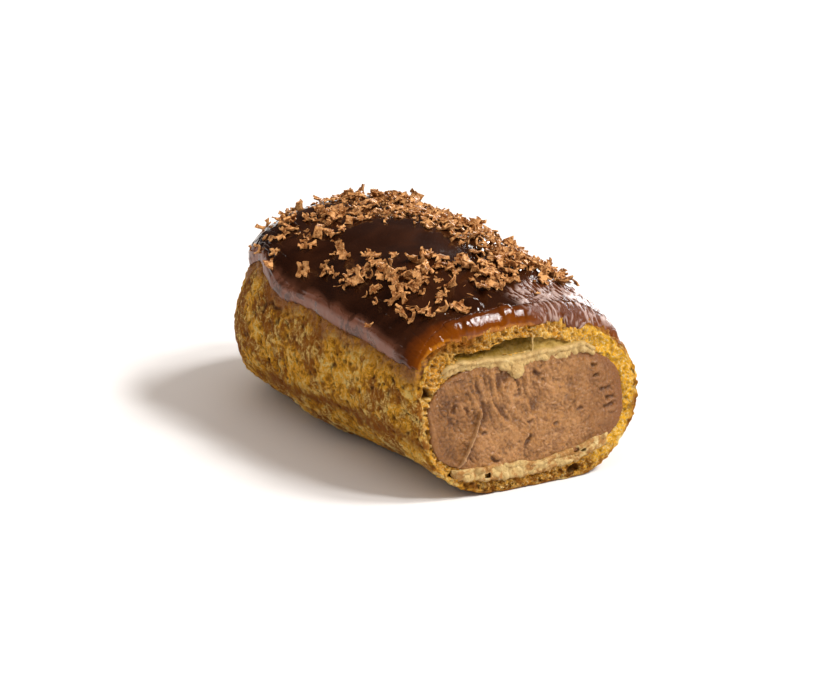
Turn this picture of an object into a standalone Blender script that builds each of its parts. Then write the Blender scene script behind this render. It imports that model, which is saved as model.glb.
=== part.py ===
"""Half a chocolate eclair, cut across: a choux shell, the cream that fills it and the icing on top.

The whole bun is shaped first, lying along Y with its middle near the cut, and a knife then takes off
the near half. Lengths are in metres, and +Z is up.
"""

import math

import bmesh
import bpy
from mathutils import Matrix, Vector

# Bun
HALF_LENGTH = 0.0784  # from the cut to the far tip
CUT_Y = -0.03765  # middle of the cut, so that the half is centred along Y
CUT_X = -0.0002  # the bun is a little fuller on the right, so its middle line sits to the left
BUN_WIDTH = 0.0432  # across the cut
BELLY = 0.045  # share of the width that the bun gains behind the cut
BELLY_REACH = 0.0270
BUN_HEIGHT = 0.0349  # pastry alone, at the crown
WAIST = 0.0167  # height of the widest line above the tray
CROWN_POWER = 2.30  # superellipse powers of the section above and below the waist
BASE_POWER = 2.60
TRAY_FLAT = 0.0007  # pressed flat where it was baked on the tray
KNIFE_PRESS = 0.0065  # how far the knife pressed the top down at the cut
PRESS_REACH = 0.0130
CROWN_SHIFT = 0.0010  # the crown at the cut sits a little to the left
STRAIGHT_SHARE = 0.68  # of the half length, before the far end starts to round off
END_POWER = 1.90
END_TOP_POWER = 1.65  # the top falls away sooner than the sides at the far end
END_BASE_POWER = 0.18
LUMP = 0.0003  # unevenness of the baked crust
LUMP_WAVES = (  # radians per metre along the bun, waves around it, phase, share of LUMP
    (165, 2, 0.0, 1.0),
    (290, -3, 1.0, 0.8),
    (105, 5, 2.2, 0.7),
)
EVEN_STATIONS = 0.4  # share of the length that is spaced by angle, so that the far tip gets enough points

# Knife
KNIFE_TILT = math.radians(8.3)
KNIFE_TURN = math.radians(3.6)
KNIFE_BLOCK = 0.200

# Cream
CREAM_WIDTH = 0.0371
CREAM_LOW = 0.0042
CREAM_HIGH = 0.0221
CREAM_POWER = 3.0
CREAM_SHIFT = -0.0004
CREAM_END_WALL = 0.0090  # pastry left at the far tip
GAP = 0.0003  # clearance between two foods that touch

# Air pocket under the top crust
POCKET_WIDTH = 0.0243
POCKET_DEPTH = 0.0145
POCKET_TALL = 0.0024
POCKET_HEIGHT = 0.0248  # of its middle, at the cut
POCKET_SHIFT = -0.0021
POCKET_SAG = 10.0  # how fast its sides droop, per metre
POCKET_RISE = 0.28  # it climbs with the crown behind the cut

# Icing
ICING_THICK = 0.0016
ICING_THIN_SHARE = 0.30  # of the thickness that is left at the cut
ICING_THIN_REACH = 0.0090
ICING_SETBACK = 0.0014  # bare crust between the icing and the cut
ICING_REACH = math.radians(71.5)  # from straight up, as seen from the middle of the bun
ICING_END_REACH = math.radians(11.0)  # how much further it runs over the far end
ICING_WAVE = math.radians(1.7)
ICING_WAVES = (  # scallops round the edge, phase, share of ICING_WAVE
    (9, 0.6, 1.0),
    (17, 0.0, 0.7),
    (4, 0.0, 0.5),
)
ICING_SINK = 0.0010  # the poured mass starts below the crust and is trimmed to it
RIM_POWER = 9.0  # how late the icing starts to round off towards its edge
RIM_ROUNDING = 1 / 3

# Points around and along each shape
BUN_POINTS = (72, 52)
CREAM_POINTS = (40, 28)
POCKET_POINTS = (28, 14)
ICING_POINTS = (84, 36)


def power_part(value, exponent):
    """A signed power, as a superellipse needs it."""
    return math.copysign(abs(value) ** exponent, value)


def station(direction):
    """How far along the bun a direction from its middle lands, measured from the cut."""
    latitude = math.asin(max(-1.0, min(1.0, direction.y)))
    even = latitude / (math.pi / 2)
    return HALF_LENGTH * (EVEN_STATIONS * even + (1 - EVEN_STATIONS) * direction.y)


def end_rounding(along, straight_share, power):
    """1 along the straight part of the bun, falling to 0 at the tip."""
    past = (abs(along) / HALF_LENGTH - straight_share) / (1 - straight_share)
    past = max(0.0, min(1.0, past))
    return (1 - past**power) ** (1 / power)


def bun_half_width(along):
    belly = BELLY * (1 - math.exp(-((along / BELLY_REACH) ** 2)))
    return BUN_WIDTH / 2 * (1 + belly)


def crown_height(along):
    return BUN_HEIGHT - KNIFE_PRESS * math.exp(-abs(along) / PRESS_REACH)


def lump(along, around):
    """Slow swells of the crust along and around the bun."""
    return LUMP * sum(
        share * math.sin(per_metre * along + waves * around + phase)
        for per_metre, waves, phase, share in LUMP_WAVES
    )


def bun_point(direction, rise=0.0):
    """The point of the crust, or of a skin that stands above it by rise, in a direction from the middle."""
    along = station(direction)
    around = math.atan2(direction.z, direction.x)
    rounding = end_rounding(along, STRAIGHT_SHARE, END_POWER)
    swell = lump(along, around) * rounding + rise
    above = direction.z >= 0
    power = CROWN_POWER if above else BASE_POWER
    across = power_part(math.cos(around), 2 / power)
    upward = power_part(math.sin(around), 2 / power)
    if above:
        reach = (crown_height(along) - WAIST) * rounding**END_TOP_POWER
    else:
        reach = (WAIST + TRAY_FLAT) * rounding**END_BASE_POWER
    x = (bun_half_width(along) * rounding + swell) * across
    z = WAIST + (reach + swell) * upward
    x -= CROWN_SHIFT * (z - WAIST) / (BUN_HEIGHT - WAIST) * math.exp(-abs(along) / BELLY_REACH)
    y = CUT_Y + along + rise * direction.y
    return Vector((CUT_X + x, y, max(z, 0.0)))


def cream_point(direction, rise=0.0):
    along = station(direction) * (1 - CREAM_END_WALL / HALF_LENGTH)
    around = math.atan2(direction.z, direction.x)
    rounding = end_rounding(station(direction), STRAIGHT_SHARE, END_POWER)
    half_width = CREAM_WIDTH / 2 * rounding + rise
    half_height = (CREAM_HIGH - CREAM_LOW) / 2 * rounding + rise
    x = CUT_X + CREAM_SHIFT + half_width * power_part(math.cos(around), 2 / CREAM_POWER)
    z = (CREAM_LOW + CREAM_HIGH) / 2 + half_height * power_part(math.sin(around), 2 / CREAM_POWER)
    return Vector((x, CUT_Y + along + rise * direction.y, z))


def pocket_point(direction):
    x = POCKET_WIDTH / 2 * direction.x
    along = POCKET_DEPTH * direction.y
    z = POCKET_HEIGHT + POCKET_TALL / 2 * direction.z - POCKET_SAG * x**2 + POCKET_RISE * along
    return Vector((CUT_X + x + POCKET_SHIFT, CUT_Y + along, z))


def icing_point(direction):
    """The poured icing as one pillow: its upper side is the surface, its under side is sunk in the bun."""
    spread = min(1.0, math.hypot(direction.x, direction.y))  # 0 on the crown, 1 at the rim
    bearing = math.atan2(direction.y, direction.x)
    wave = sum(share * math.sin(scallops * bearing + phase) for scallops, phase, share in ICING_WAVES)
    rim = ICING_REACH + ICING_END_REACH * math.sin(bearing) ** 2 + ICING_WAVE * wave
    polar = spread * rim
    aim = Vector((math.sin(polar) * math.cos(bearing), math.sin(polar) * math.sin(bearing), math.cos(polar)))
    if direction.z < 0:
        return bun_point(aim, -ICING_SINK)
    thinning = 1 - math.exp(-((station(aim) / ICING_THIN_REACH) ** 2))
    thick = ICING_THICK * (ICING_THIN_SHARE + (1 - ICING_THIN_SHARE) * thinning)
    profile = (1 - spread**RIM_POWER) ** RIM_ROUNDING
    return bun_point(aim, -ICING_SINK * (1 - profile) + (GAP + thick) * profile)


def material(name, colour, roughness):
    made = bpy.data.materials.new(name)
    made.use_nodes = True
    shader = made.node_tree.nodes["Principled BSDF"]
    shader.inputs["Base Color"].default_value = (*colour, 1.0)
    shader.inputs["Roughness"].default_value = roughness
    shader.inputs["Metallic"].default_value = 0.0
    return made


def shaped_ball(name, point_of, collection, points, poles_up=False):
    """A sphere whose points are moved to where point_of sends their directions."""
    around, along = points
    turn = Matrix.Identity(4) if poles_up else Matrix.Rotation(math.pi / 2, 4, "X")
    shape = bmesh.new()
    bmesh.ops.create_uvsphere(shape, u_segments=around, v_segments=along, radius=1.0, matrix=turn)
    for vertex in shape.verts:
        vertex.co = point_of(vertex.co.normalized())
    bmesh.ops.recalc_face_normals(shape, faces=shape.faces)
    mesh = bpy.data.meshes.new(name)
    shape.to_mesh(mesh)
    shape.free()
    mesh.shade_smooth()
    made = bpy.data.objects.new(name, mesh)
    collection.objects.link(made)
    return made


def as_cutter(made):
    made.hide_render = True
    made.display_type = "WIRE"
    return made


def knife(name, setback, collection):
    """The block of space on the near side of the cut, from which the near half is taken off."""
    shape = bmesh.new()
    bmesh.ops.create_cube(shape, size=KNIFE_BLOCK)
    bmesh.ops.translate(shape, verts=shape.verts, vec=(0, -KNIFE_BLOCK / 2 + setback, 0))
    mesh = bpy.data.meshes.new(name)
    shape.to_mesh(mesh)
    shape.free()
    made = bpy.data.objects.new(name, mesh)
    made.location = (CUT_X, CUT_Y, WAIST)
    made.rotation_euler = (-KNIFE_TILT, 0, -KNIFE_TURN)
    collection.objects.link(made)
    return as_cutter(made)


def cut_with(made, cutter):
    step = made.modifiers.new(cutter.name, "BOOLEAN")
    step.operation = "DIFFERENCE"
    step.object = cutter


def clear_scene():
    for old in list(bpy.data.objects):
        bpy.data.objects.remove(old)


def new_collection(name):
    made = bpy.data.collections.new(name)
    bpy.context.scene.collection.children.link(made)
    return made


def build_shell(pieces, cutters, cut):
    shell = shaped_ball("choux_shell", bun_point, pieces, BUN_POINTS)
    shell.data.materials.append(material("baked_choux", (0.52, 0.30, 0.09), 0.75))
    cavity = shaped_ball("cream_cavity", lambda aim: cream_point(aim, GAP), cutters, CREAM_POINTS)
    pocket = shaped_ball("air_pocket", pocket_point, cutters, POCKET_POINTS)
    for cutter in (cavity, pocket):
        cut_with(shell, as_cutter(cutter))
    cut_with(shell, cut)


def build_cream(pieces, cut):
    cream = shaped_ball("cream_filling", cream_point, pieces, CREAM_POINTS)
    cream.data.materials.append(material("chocolate_cream", (0.36, 0.18, 0.11), 0.45))
    cut_with(cream, cut)


def build_icing(pieces, cutters):
    icing = shaped_ball("chocolate_icing", icing_point, pieces, ICING_POINTS, poles_up=True)
    icing.data.materials.append(material("dark_icing", (0.035, 0.012, 0.007), 0.15))
    bed = shaped_ball("icing_bed", lambda aim: bun_point(aim, GAP), cutters, BUN_POINTS)
    cut_with(icing, as_cutter(bed))
    cut_with(icing, knife("icing_knife", ICING_SETBACK, cutters))


def main():
    clear_scene()
    pieces = new_collection("chocolate_eclair_half")
    cutters = new_collection("cutters")
    cut = knife("knife", 0.0, cutters)
    build_shell(pieces, cutters, cut)
    build_cream(pieces, cut)
    build_icing(pieces, cutters)


main()
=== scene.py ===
"""The looks of half a chocolate eclair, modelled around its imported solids.

The crust is blistered choux, cut across to show its crumb. It holds a milk chocolate cream that the
knife has smeared, pale inner skins and an air pocket. A dark icing lies on top, with shavings on it.

Lengths are in metres. X runs across the eclair, Y from the cut to the far tip, and Z is up. Places on
the cut are given as x, across, and z, up. Every pattern is worked out from seeded or fixed numbers.
"""

import math
import random
from functools import partial

import bpy
import numpy as np
from bpy.props import FloatProperty, FloatVectorProperty, IntProperty, PointerProperty
from mathutils import Matrix, Vector, noise
from mathutils.bvhtree import BVHTree
from mathutils.kdtree import KDTree


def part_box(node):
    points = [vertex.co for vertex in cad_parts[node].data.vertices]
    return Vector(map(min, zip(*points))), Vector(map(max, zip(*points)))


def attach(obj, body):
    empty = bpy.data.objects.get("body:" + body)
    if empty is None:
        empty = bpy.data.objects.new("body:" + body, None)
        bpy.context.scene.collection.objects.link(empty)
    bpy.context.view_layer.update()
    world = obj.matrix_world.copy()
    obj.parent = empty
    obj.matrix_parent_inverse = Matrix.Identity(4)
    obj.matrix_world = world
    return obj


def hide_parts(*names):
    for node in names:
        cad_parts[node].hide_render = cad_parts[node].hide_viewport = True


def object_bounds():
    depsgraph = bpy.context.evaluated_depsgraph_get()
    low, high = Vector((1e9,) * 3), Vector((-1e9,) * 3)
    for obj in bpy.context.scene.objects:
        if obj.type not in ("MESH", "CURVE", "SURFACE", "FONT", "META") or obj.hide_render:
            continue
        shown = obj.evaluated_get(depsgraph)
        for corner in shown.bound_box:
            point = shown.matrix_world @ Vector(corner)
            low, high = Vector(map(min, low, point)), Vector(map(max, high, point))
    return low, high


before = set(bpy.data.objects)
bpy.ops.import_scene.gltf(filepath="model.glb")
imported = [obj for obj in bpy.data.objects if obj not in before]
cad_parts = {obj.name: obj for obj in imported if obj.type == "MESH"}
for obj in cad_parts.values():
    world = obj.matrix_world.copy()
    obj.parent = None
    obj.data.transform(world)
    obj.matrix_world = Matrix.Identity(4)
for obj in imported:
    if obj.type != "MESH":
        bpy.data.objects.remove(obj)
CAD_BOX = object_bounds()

bl_info = {
    "name": "Half Chocolate Eclair",
    "version": (1, 0, 0),
    "blender": (4, 5, 0),
    "location": "3D Viewport > Sidebar > Eclair",
    "description": "Models the crust, cream, icing and shavings of half a chocolate eclair",
    "category": "Object",
}

MM = 0.001
MERGE = 0.00001  # corners nearer than this are one
CRUST_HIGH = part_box("choux_shell")[1]
CREAM_LOW, CREAM_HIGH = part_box("cream_filling")
WAIST = 0.48 * CRUST_HIGH.z  # height of the bun's widest line
FAR_MIDDLE = CRUST_HIGH.y - 0.022  # the round far end is shaped about this place along Y


# ---------------------------------------------------------------- settings


def length_setting(name, description, millimetres):
    """A length that a user may change."""
    default = millimetres * MM
    return FloatProperty(name=name, description=description, default=default, unit="LENGTH", precision=5)


def colour_setting(name, description, colour):
    """A colour that a user may change."""
    return FloatVectorProperty(name=name, description=description, default=colour, subtype="COLOR")


# ---------------------------------------------------------------- the cut


def read_cut():
    """The middle and the outward normal of the knife cut, from the cream's flat near face."""
    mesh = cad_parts["cream_filling"].data
    near = [face for face in mesh.polygons if face.normal.y < -0.97]
    area = sum(face.area for face in near)
    middle = sum((face.center * face.area for face in near), Vector()) / area
    normal = sum((face.normal * face.area for face in near), Vector()).normalized()
    return middle, normal


CUT_MIDDLE, CUT_NORMAL = read_cut()


def behind_cut(points):
    """How far each point lies behind the plane of the cut."""
    return (np.array(CUT_MIDDLE) - points) @ np.array(CUT_NORMAL)


def on_cut(across, up, proud):
    """Points of the cut at these places, standing proud of its plane by so much."""
    normal = np.array(CUT_NORMAL)
    middle = np.array(CUT_MIDDLE)
    level = middle[1] - ((across - middle[0]) * normal[0] + (up - middle[2]) * normal[2]) / normal[1]
    return np.stack([across, level, up], axis=-1) + np.asarray(proud)[..., None] * normal


# ---------------------------------------------------------------- mesh helpers


def only(piece):
    """Selects this piece alone."""
    bpy.ops.object.select_all(action="DESELECT")
    piece.select_set(True)
    bpy.context.view_layer.objects.active = piece


def name_new(name):
    """Names the primitive that was just added."""
    piece = bpy.context.active_object
    piece.name = name
    piece.data.name = name
    return piece


def modify(piece, kind, **settings):
    """Adds one modifier, sets it and applies it."""
    only(piece)
    step = piece.modifiers.new(kind.title(), kind)
    for name, value in settings.items():
        setattr(step, name, value)
    bpy.ops.object.modifier_apply(modifier=step.name)


def edit_all(piece, action, **settings):
    """Runs one edit mode operator on the whole mesh."""
    only(piece)
    bpy.ops.object.mode_set(mode="EDIT")
    bpy.ops.mesh.select_all(action="SELECT")
    action(**settings)
    bpy.ops.object.mode_set(mode="OBJECT")


def edit_faces(piece, chosen, action, **settings):
    """Runs one edit mode operator on the chosen faces."""
    only(piece)
    bpy.ops.object.mode_set(mode="EDIT")
    bpy.ops.mesh.select_mode(type="FACE")
    bpy.ops.mesh.select_all(action="DESELECT")
    bpy.ops.object.mode_set(mode="OBJECT")
    piece.data.polygons.foreach_set("select", chosen)
    bpy.ops.object.mode_set(mode="EDIT")
    action(**settings)
    bpy.ops.object.mode_set(mode="OBJECT")


def blank_of(node, name, facet):
    """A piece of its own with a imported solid's shape, in even faces with edges of this length."""
    piece = bpy.data.objects.new(name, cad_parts[node].data.copy())
    piece.data.name = name
    piece.data.materials.clear()
    bpy.context.scene.collection.objects.link(piece)
    edit_all(piece, bpy.ops.mesh.remove_doubles, threshold=MERGE)
    modify(piece, "REMESH", mode="VOXEL", voxel_size=facet)
    return piece


def vectors(rows, name):
    """This value of each row, as an array with three columns."""
    flat = np.empty(len(rows) * 3, np.float32)
    rows.foreach_get(name, flat)
    return flat.reshape(-1, 3).astype(float)


def read_points(piece):
    return vectors(piece.data.vertices, "co")


def read_normals(piece):
    return vectors(piece.data.vertex_normals, "vector")


def move_points(piece, points):
    """Puts the points of a mesh at these places."""
    piece.data.vertices.foreach_set("co", points.astype(np.float32).ravel())
    piece.data.update()


def paint(piece, **layers):
    """Stores one number for each point under each name, for the material to read."""
    for name, values in layers.items():
        layer = piece.data.attributes.new(name, "FLOAT", "POINT")
        layer.data.foreach_set("value", np.asarray(values, np.float32))


def thin_out(piece, hidden, share):
    """Keeps this share of the faces where hidden is 1, and all of them where it is 0."""
    group = piece.vertex_groups.new(name="hidden")
    for index in np.nonzero(hidden)[0].tolist():
        group.add([index], 1.0, "REPLACE")
    loose = float(np.mean(hidden))
    modify(piece, "DECIMATE", ratio=1 - loose * (1 - share), vertex_group="hidden")
    piece.vertex_groups.clear()


def faces_among(piece, chosen):
    """Which faces have all their corners among the chosen points."""
    mesh = piece.data
    corners = np.empty(len(mesh.loops), np.int32)
    mesh.loops.foreach_get("vertex_index", corners)
    starts = np.empty(len(mesh.polygons), np.int32)
    mesh.polygons.foreach_get("loop_start", starts)
    return np.logical_and.reduceat(chosen[corners], starts)


def refine(piece, chosen):
    """Splits each face whose corners are all among the chosen points into four."""
    edit_faces(piece, faces_among(piece, chosen), bpy.ops.mesh.subdivide, number_cuts=1)


def delete_faces(piece, chosen):
    """Takes the chosen faces away."""
    edit_faces(piece, chosen, bpy.ops.mesh.delete, type="FACE")


def tree_of(piece):
    """A piece's surface, for finding what is nearest or what a ray meets."""
    mesh = piece.data
    return BVHTree.FromPolygons([v.co for v in mesh.vertices], [face.vertices for face in mesh.polygons])


def distance_to(tree, points, far):
    """How far each point is from a surface, and far where it is further."""
    found = [tree.find_nearest(place, far)[3] for place in points.tolist()]
    return np.array([far if distance is None else distance for distance in found])


def distance_to_cloud(cloud, points):
    """How far each point is from the nearest of a cloud of points."""
    tree = KDTree(len(cloud))
    for index, place in enumerate(cloud.tolist()):
        tree.insert(place, index)
    tree.balance()
    return np.array([tree.find(place)[2] for place in points.tolist()])


def columns_of(rows):
    """The columns of a table that is in millimetres."""
    return (np.array(column) * MM for column in zip(*rows))


# ---------------------------------------------------------------- patterns


def fade(values, start, end):
    """1 below start, 0 above end, and smooth between."""
    past = np.clip((values - start) / (end - start), 0, 1)
    return 1 - past * past * (3 - 2 * past)


def rise(values, start, end):
    """0 below start, 1 above end, and smooth between."""
    return fade(-values, -end, -start)


def bell(values, width):
    """1 where the value is 0, falling away over this width to both sides."""
    return np.exp(-((values / width) ** 2))


def waves(points, size, seed=0.0):
    """Smooth noise from about -1 to 1, with swells of this size."""
    return np.array([noise.noise(place) for place in (points / size + seed).tolist()])


def puffs(points, size, seed=0.0):
    """Rounded blisters with sharp creases between them, from 0 in a crease to 0.8. Their mean is near 0.3."""
    return np.abs(waves(points, size, seed))


def bubbles(points, size, seed=0.0):
    """0 in the middle of a cell of this size, and larger towards its walls."""
    return np.array([noise.voronoi(place)[0][0] for place in (points / size + seed).tolist()])


def walls(points, size, seed=0.0):
    """0 on the walls between cells of this size, and larger away from them."""
    found = (noise.voronoi(place)[0] for place in (points / size + seed).tolist())
    return np.array([nearest[1] - nearest[0] for nearest in found])


def warped(points, amount, size, seeds):
    """The points, shifted along each side by waves with a seed of its own."""
    return points + amount * np.stack([waves(points, size, seed) for seed in seeds], axis=-1)


def on_sheet(*sides):
    """Places for a pattern, from one number a point along each of two sides."""
    return np.stack([*sides, np.zeros(len(sides[0]))], axis=-1)


# ---------------------------------------------------------------- material helpers


def new_material(name, roughness, specular):
    """A material with a Principled shader, and its object coordinates."""
    made = bpy.data.materials.new(name)
    made.use_nodes = True
    tree = made.node_tree
    shader = tree.nodes["Principled BSDF"]
    shader.inputs["Roughness"].default_value = roughness
    shader.inputs["Specular IOR Level"].default_value = specular
    place = tree.nodes.new("ShaderNodeTexCoord").outputs["Object"]
    return made, tree, shader, place


def put(tree, kind, sockets, **settings):
    """Adds a node. Each socket takes a value, or a link from another node's output."""
    made = tree.nodes.new(kind)
    for name, value in settings.items():
        setattr(made, name, value)
    for name, value in sockets.items():
        if isinstance(value, bpy.types.NodeSocket):
            tree.links.new(value, made.inputs[name])
        else:
            made.inputs[name].default_value = value
    return made


def noise_in(tree, place, size, detail=4.0, rough=0.6, warp=0.0):
    """Noise with features of this size."""
    sockets = {"Vector": place, "Scale": 1 / size, "Detail": detail, "Roughness": rough, "Distortion": warp}
    return put(tree, "ShaderNodeTexNoise", sockets).outputs["Fac"]


def painted(tree, name):
    """A number that was painted on the points."""
    return put(tree, "ShaderNodeAttribute", {}, attribute_name=name).outputs["Fac"]


def sides_of(tree, place):
    """The X, Y and Z of coordinates."""
    return put(tree, "ShaderNodeSeparateXYZ", {"Vector": place}).outputs


def maths(tree, operation, first, second):
    """The result of one operation on two numbers."""
    return put(tree, "ShaderNodeMath", {0: first, 1: second}, operation=operation).outputs[0]


def spread(tree, value, low, high, to_low=0.0, to_high=1.0):
    """Maps low to high onto to_low to to_high, and stops at the ends."""
    sockets = {"Value": value, "From Min": low, "From Max": high, "To Min": to_low, "To Max": to_high}
    return put(tree, "ShaderNodeMapRange", sockets, interpolation_type="SMOOTHSTEP").outputs["Result"]


def product(tree, *factors):
    """The factors multiplied. Each is a number, a socket, or a socket with the ranges that spread takes."""
    made = None
    for factor in factors:
        value = spread(tree, *factor) if isinstance(factor, tuple) else factor
        made = value if made is None else maths(tree, "MULTIPLY", made, value)
    return made


def blend_colours(tree, share, first, second):
    """The first colour where share is 0, and the second where it is 1."""
    made = tree.nodes.new("ShaderNodeMix")
    made.data_type = "RGBA"
    for index, value in ((0, share), (6, first), (7, second)):
        if isinstance(value, bpy.types.NodeSocket):
            tree.links.new(value, made.inputs[index])
        else:
            made.inputs[index].default_value = (*value, 1.0)
    return made.outputs[2]


def layered(tree, colour, *layers):
    """Lays colours over this one. Each layer is its colour, then the factors of how far it covers."""
    for top, *factors in layers:
        colour = blend_colours(tree, product(tree, *factors), colour, top)
    return colour


def stretched(tree, place, stretch, turn):
    """Coordinates turned, then scaled by different amounts along each side."""
    turned = put(tree, "ShaderNodeMapping", {"Vector": place, "Rotation": turn}).outputs["Vector"]
    return put(tree, "ShaderNodeMapping", {"Vector": turned, "Scale": stretch}).outputs["Vector"]


def bump(tree, height, distance, strength=1.0, under=None):
    """Shading of fine relief, over another relief if one is given."""
    sockets = {"Height": height, "Distance": distance, "Strength": strength}
    if under is not None:
        sockets["Normal"] = under
    return put(tree, "ShaderNodeBump", sockets).outputs["Normal"]


def join_up(tree, shader, colour, roughness=None, normal=None):
    """Links what is given to the shader."""
    for name, value in (("Base Color", colour), ("Roughness", roughness), ("Normal", normal)):
        if value is not None:
            tree.links.new(value, shader.inputs[name])


def dress(piece, material, node_slot, *stands_for):
    """Gives a finished piece its material and its body, and hides the solids that it stands for. Its slot is
    not used.
    """
    piece.data.materials.clear()
    piece.data.materials.append(material)
    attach(piece, "root")
    if stands_for:
        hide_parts(*stands_for)


# ---------------------------------------------------------------- crust


class CrustSizes(bpy.types.PropertyGroup):
    facet: length_setting("Facet", "Edge of the crust's faces away from the cut", 0.385)
    swell: length_setting("Swell", "Height of the slow swells of the crust", 0.38)
    blister: length_setting("Blister", "Height of the blisters", 0.42)
    granule: length_setting("Granule", "Height of the small granules on them", 0.50)
    streak: length_setting("Streak", "Height of the stretched streaks low on the flanks", 0.50)
    pore: length_setting("Pore", "Depth of the bubbles that the cut opens", 0.75)
    golden: colour_setting("Golden crust", "Colour of the crust", (0.88, 0.420, 0.030))
    browned: colour_setting("Browned crust", "Colour of the darker patches", (0.235, 0.074, 0.005))
    # Pale is also laid on raised blisters as a painted highlight.
    pale: colour_setting("Pale crust", "Colour of stretched streaks and ridges", (0.96, 0.70, 0.22))
    crumb: colour_setting("Crumb", "Colour of the crumb at the cut", (0.98, 0.54, 0.090))


BAND_UP = 0.0092  # height of the browned band that runs along the flanks
SKIN_DEEP = 1.2 * MM  # the outer skin of the crust ends this deep
HEIGHT_UNIT = 0.42 * MM  # the height that is painted on the crust is counted in these
# How much higher on the flanks the icing stops than its solid does: place along, and rise, in millimetres.
DRAWN_UP = (
    (-26, 0.4), (-13, 0.4), (2, 0.0), (8, 0.2), (13, 2.7), (17, 4.8), (21, 4.9), (26, 2.6), (32, 2.4),
)
POCKET = (0.0, 0.0248, 0.0135, 0.0027)  # middle across and up, then half width and half height

# Colours of the skin.
RUSSET = (0.40, 0.145, 0.016)
STRAW = (0.98, 0.78, 0.32)
SCORCHED = (0.170, 0.050, 0.004)
BAND_COLOUR = (0.27, 0.090, 0.013)
HEM_COLOUR = (0.24, 0.080, 0.010)  # just above the base
# Painted shade, laid in the creases between the blisters.
CREASE_SHADE = (0.060, 0.019, 0.0035)
FILM_COLOUR = (0.35, 0.140, 0.048)  # a film of glaze on the crust, under the rim of the icing
SYRUP_COLOUR = (0.235, 0.068, 0.004)  # crust soaked by the icing, just behind the cut
SYRUP_LIGHT = (0.46, 0.185, 0.018)
# Colours of the crumb.
# Orange crumb of the thin right wall, made bright as a painted glow of light shining through it.
ORANGE_CRUMB_GLOW = (1.0, 0.53, 0.028)
TONED_CRUMB = (0.80, 0.340, 0.022)
MOTTLED_CRUMB = (0.46, 0.190, 0.020)
# Pale flecks on the crumb: painted glints.
CRUMB_GLINT = (1.0, 0.79, 0.37)
# Painted shade in the crumb's bubbles and caverns.
HOLLOW_SHADE = (0.27, 0.100, 0.007)
CAVERN_SHADE = (0.10, 0.034, 0.004)
# Painted shade on the crust inside the air pocket, deepest on the left.
POCKET_SHADE_LEFT = (0.200, 0.115, 0.008)
POCKET_SHADE_RIGHT = (0.46, 0.31, 0.075)


def depth_in_crust(points):
    """How deep each point lies under the outside of the bun, seen from the bun's middle line."""
    tree = tree_of(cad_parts["choux_shell"])
    normal = np.array(CUT_NORMAL)
    behind = behind_cut(points)
    inside = points - normal * np.clip(0.5 * MM - behind, 0, None)[:, None]
    middle = np.tile(np.array([CUT_MIDDLE.x, 0.0, WAIST]), (len(points), 1))
    level = CUT_MIDDLE.y - ((middle[:, 2] - CUT_MIDDLE.z) * normal[2]) / normal[1]
    middle[:, 1] = np.minimum(level + np.clip(behind, 0.5 * MM, None), FAR_MIDDLE)
    outward = inside - middle
    reach = np.linalg.norm(outward, axis=1)
    outward /= reach[:, None]
    far = 0.06  # outside the bun from everywhere on its middle line
    start = middle + outward * far
    depth = np.zeros(len(points))
    for index, (origin, direction) in enumerate(zip(start.tolist(), (-outward).tolist())):
        hit = tree.ray_cast(origin, direction)[3]
        depth[index] = 0.0 if hit is None else far - hit - reach[index]
    return depth


def crust_relief(points, sizes):
    """Height of the blistered skin, its crisp part alone, and how far it is stretched into streaks."""
    x, y, z = points.T
    girth = 0.020 * np.arctan2(z - WAIST, x)
    low = fade(z + 1.5 * MM * waves(points, 7 * MM, 6.0), 0.75 * BAND_UP, 1.15 * BAND_UP)
    run = on_sheet((y - 0.75 * z) / 1.35, girth / 6.0)
    streaks = puffs(run, MM, 7.3) + 0.5 * puffs(run * 2.3, MM, 1.9)
    swells = sizes.swell * (waves(points, 9 * MM, 3.1) + 0.6 * waves(points, 4.5 * MM, 1.4))
    shifted = warped(points, 0.5 * MM, 2.0 * MM, (1.5, 3.5, 6.5))
    blisters = puffs(shifted, 3.6 * MM, 11.7) - 0.28
    granules = puffs(shifted, 1.2 * MM, 5.2) + 0.6 * waves(shifted, 0.8 * MM, 8.1) - 0.28
    pits = fade(bubbles(points, 3.1 * MM, 2.0), 0.07, 0.17) * (waves(points, 5 * MM, 4.2) > -0.1)
    height = sizes.blister * (1 - 0.5 * low) * blisters + sizes.granule * (1 - 0.3 * low) * granules
    height += sizes.streak * low * (streaks - 0.34)  # its mean, so that streaks don't lift the skin
    return swells + height - 0.6 * MM * pits, height - 0.5 * MM * pits, low * streaks


def edge_radius(points):
    """Radius of the rounded edge between the crust and the cut: large on top, less on the right."""
    top = rise(points[:, 2], 14 * MM, 25 * MM)
    right = rise(points[:, 0], 6 * MM, 13 * MM)
    return (0.6 + 1.4 * top + 0.4 * right) * MM * (1 + 0.10 * waves(points, 3.0 * MM, 21.0))


def round_off(behind, depth, radius):
    """How far back and how far in each point goes to round the edge between the crust and the cut."""
    back, inward = np.clip(radius - behind, 0, None), np.clip(radius - depth, 0, None)
    reach = np.hypot(back, inward)
    share = np.clip(1 - radius / np.maximum(reach, 1e-9), 0, None)
    return back * share, inward * share


def drawn_up(points):
    """How far above its solid's line the icing stops on the flanks."""
    along_at, rise_at = columns_of(DRAWN_UP)
    return np.interp(points[:, 1], along_at, rise_at)


def under_icing(iced, points, normals, deep):
    """How far inside the icing's outline each point of the crust lies, and 0 where it is bare."""
    covered = np.zeros(len(points), bool)
    for index in np.nonzero((normals[:, 2] > -0.1) & ~deep)[0].tolist():
        covered[index] = iced.ray_cast(points[index].tolist(), normals[index].tolist(), 3 * MM)[0] is not None
    inside = np.zeros(len(points))
    inside[covered] = distance_to_cloud(points[~covered & ~deep][::4], points[covered])
    return inside


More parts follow.
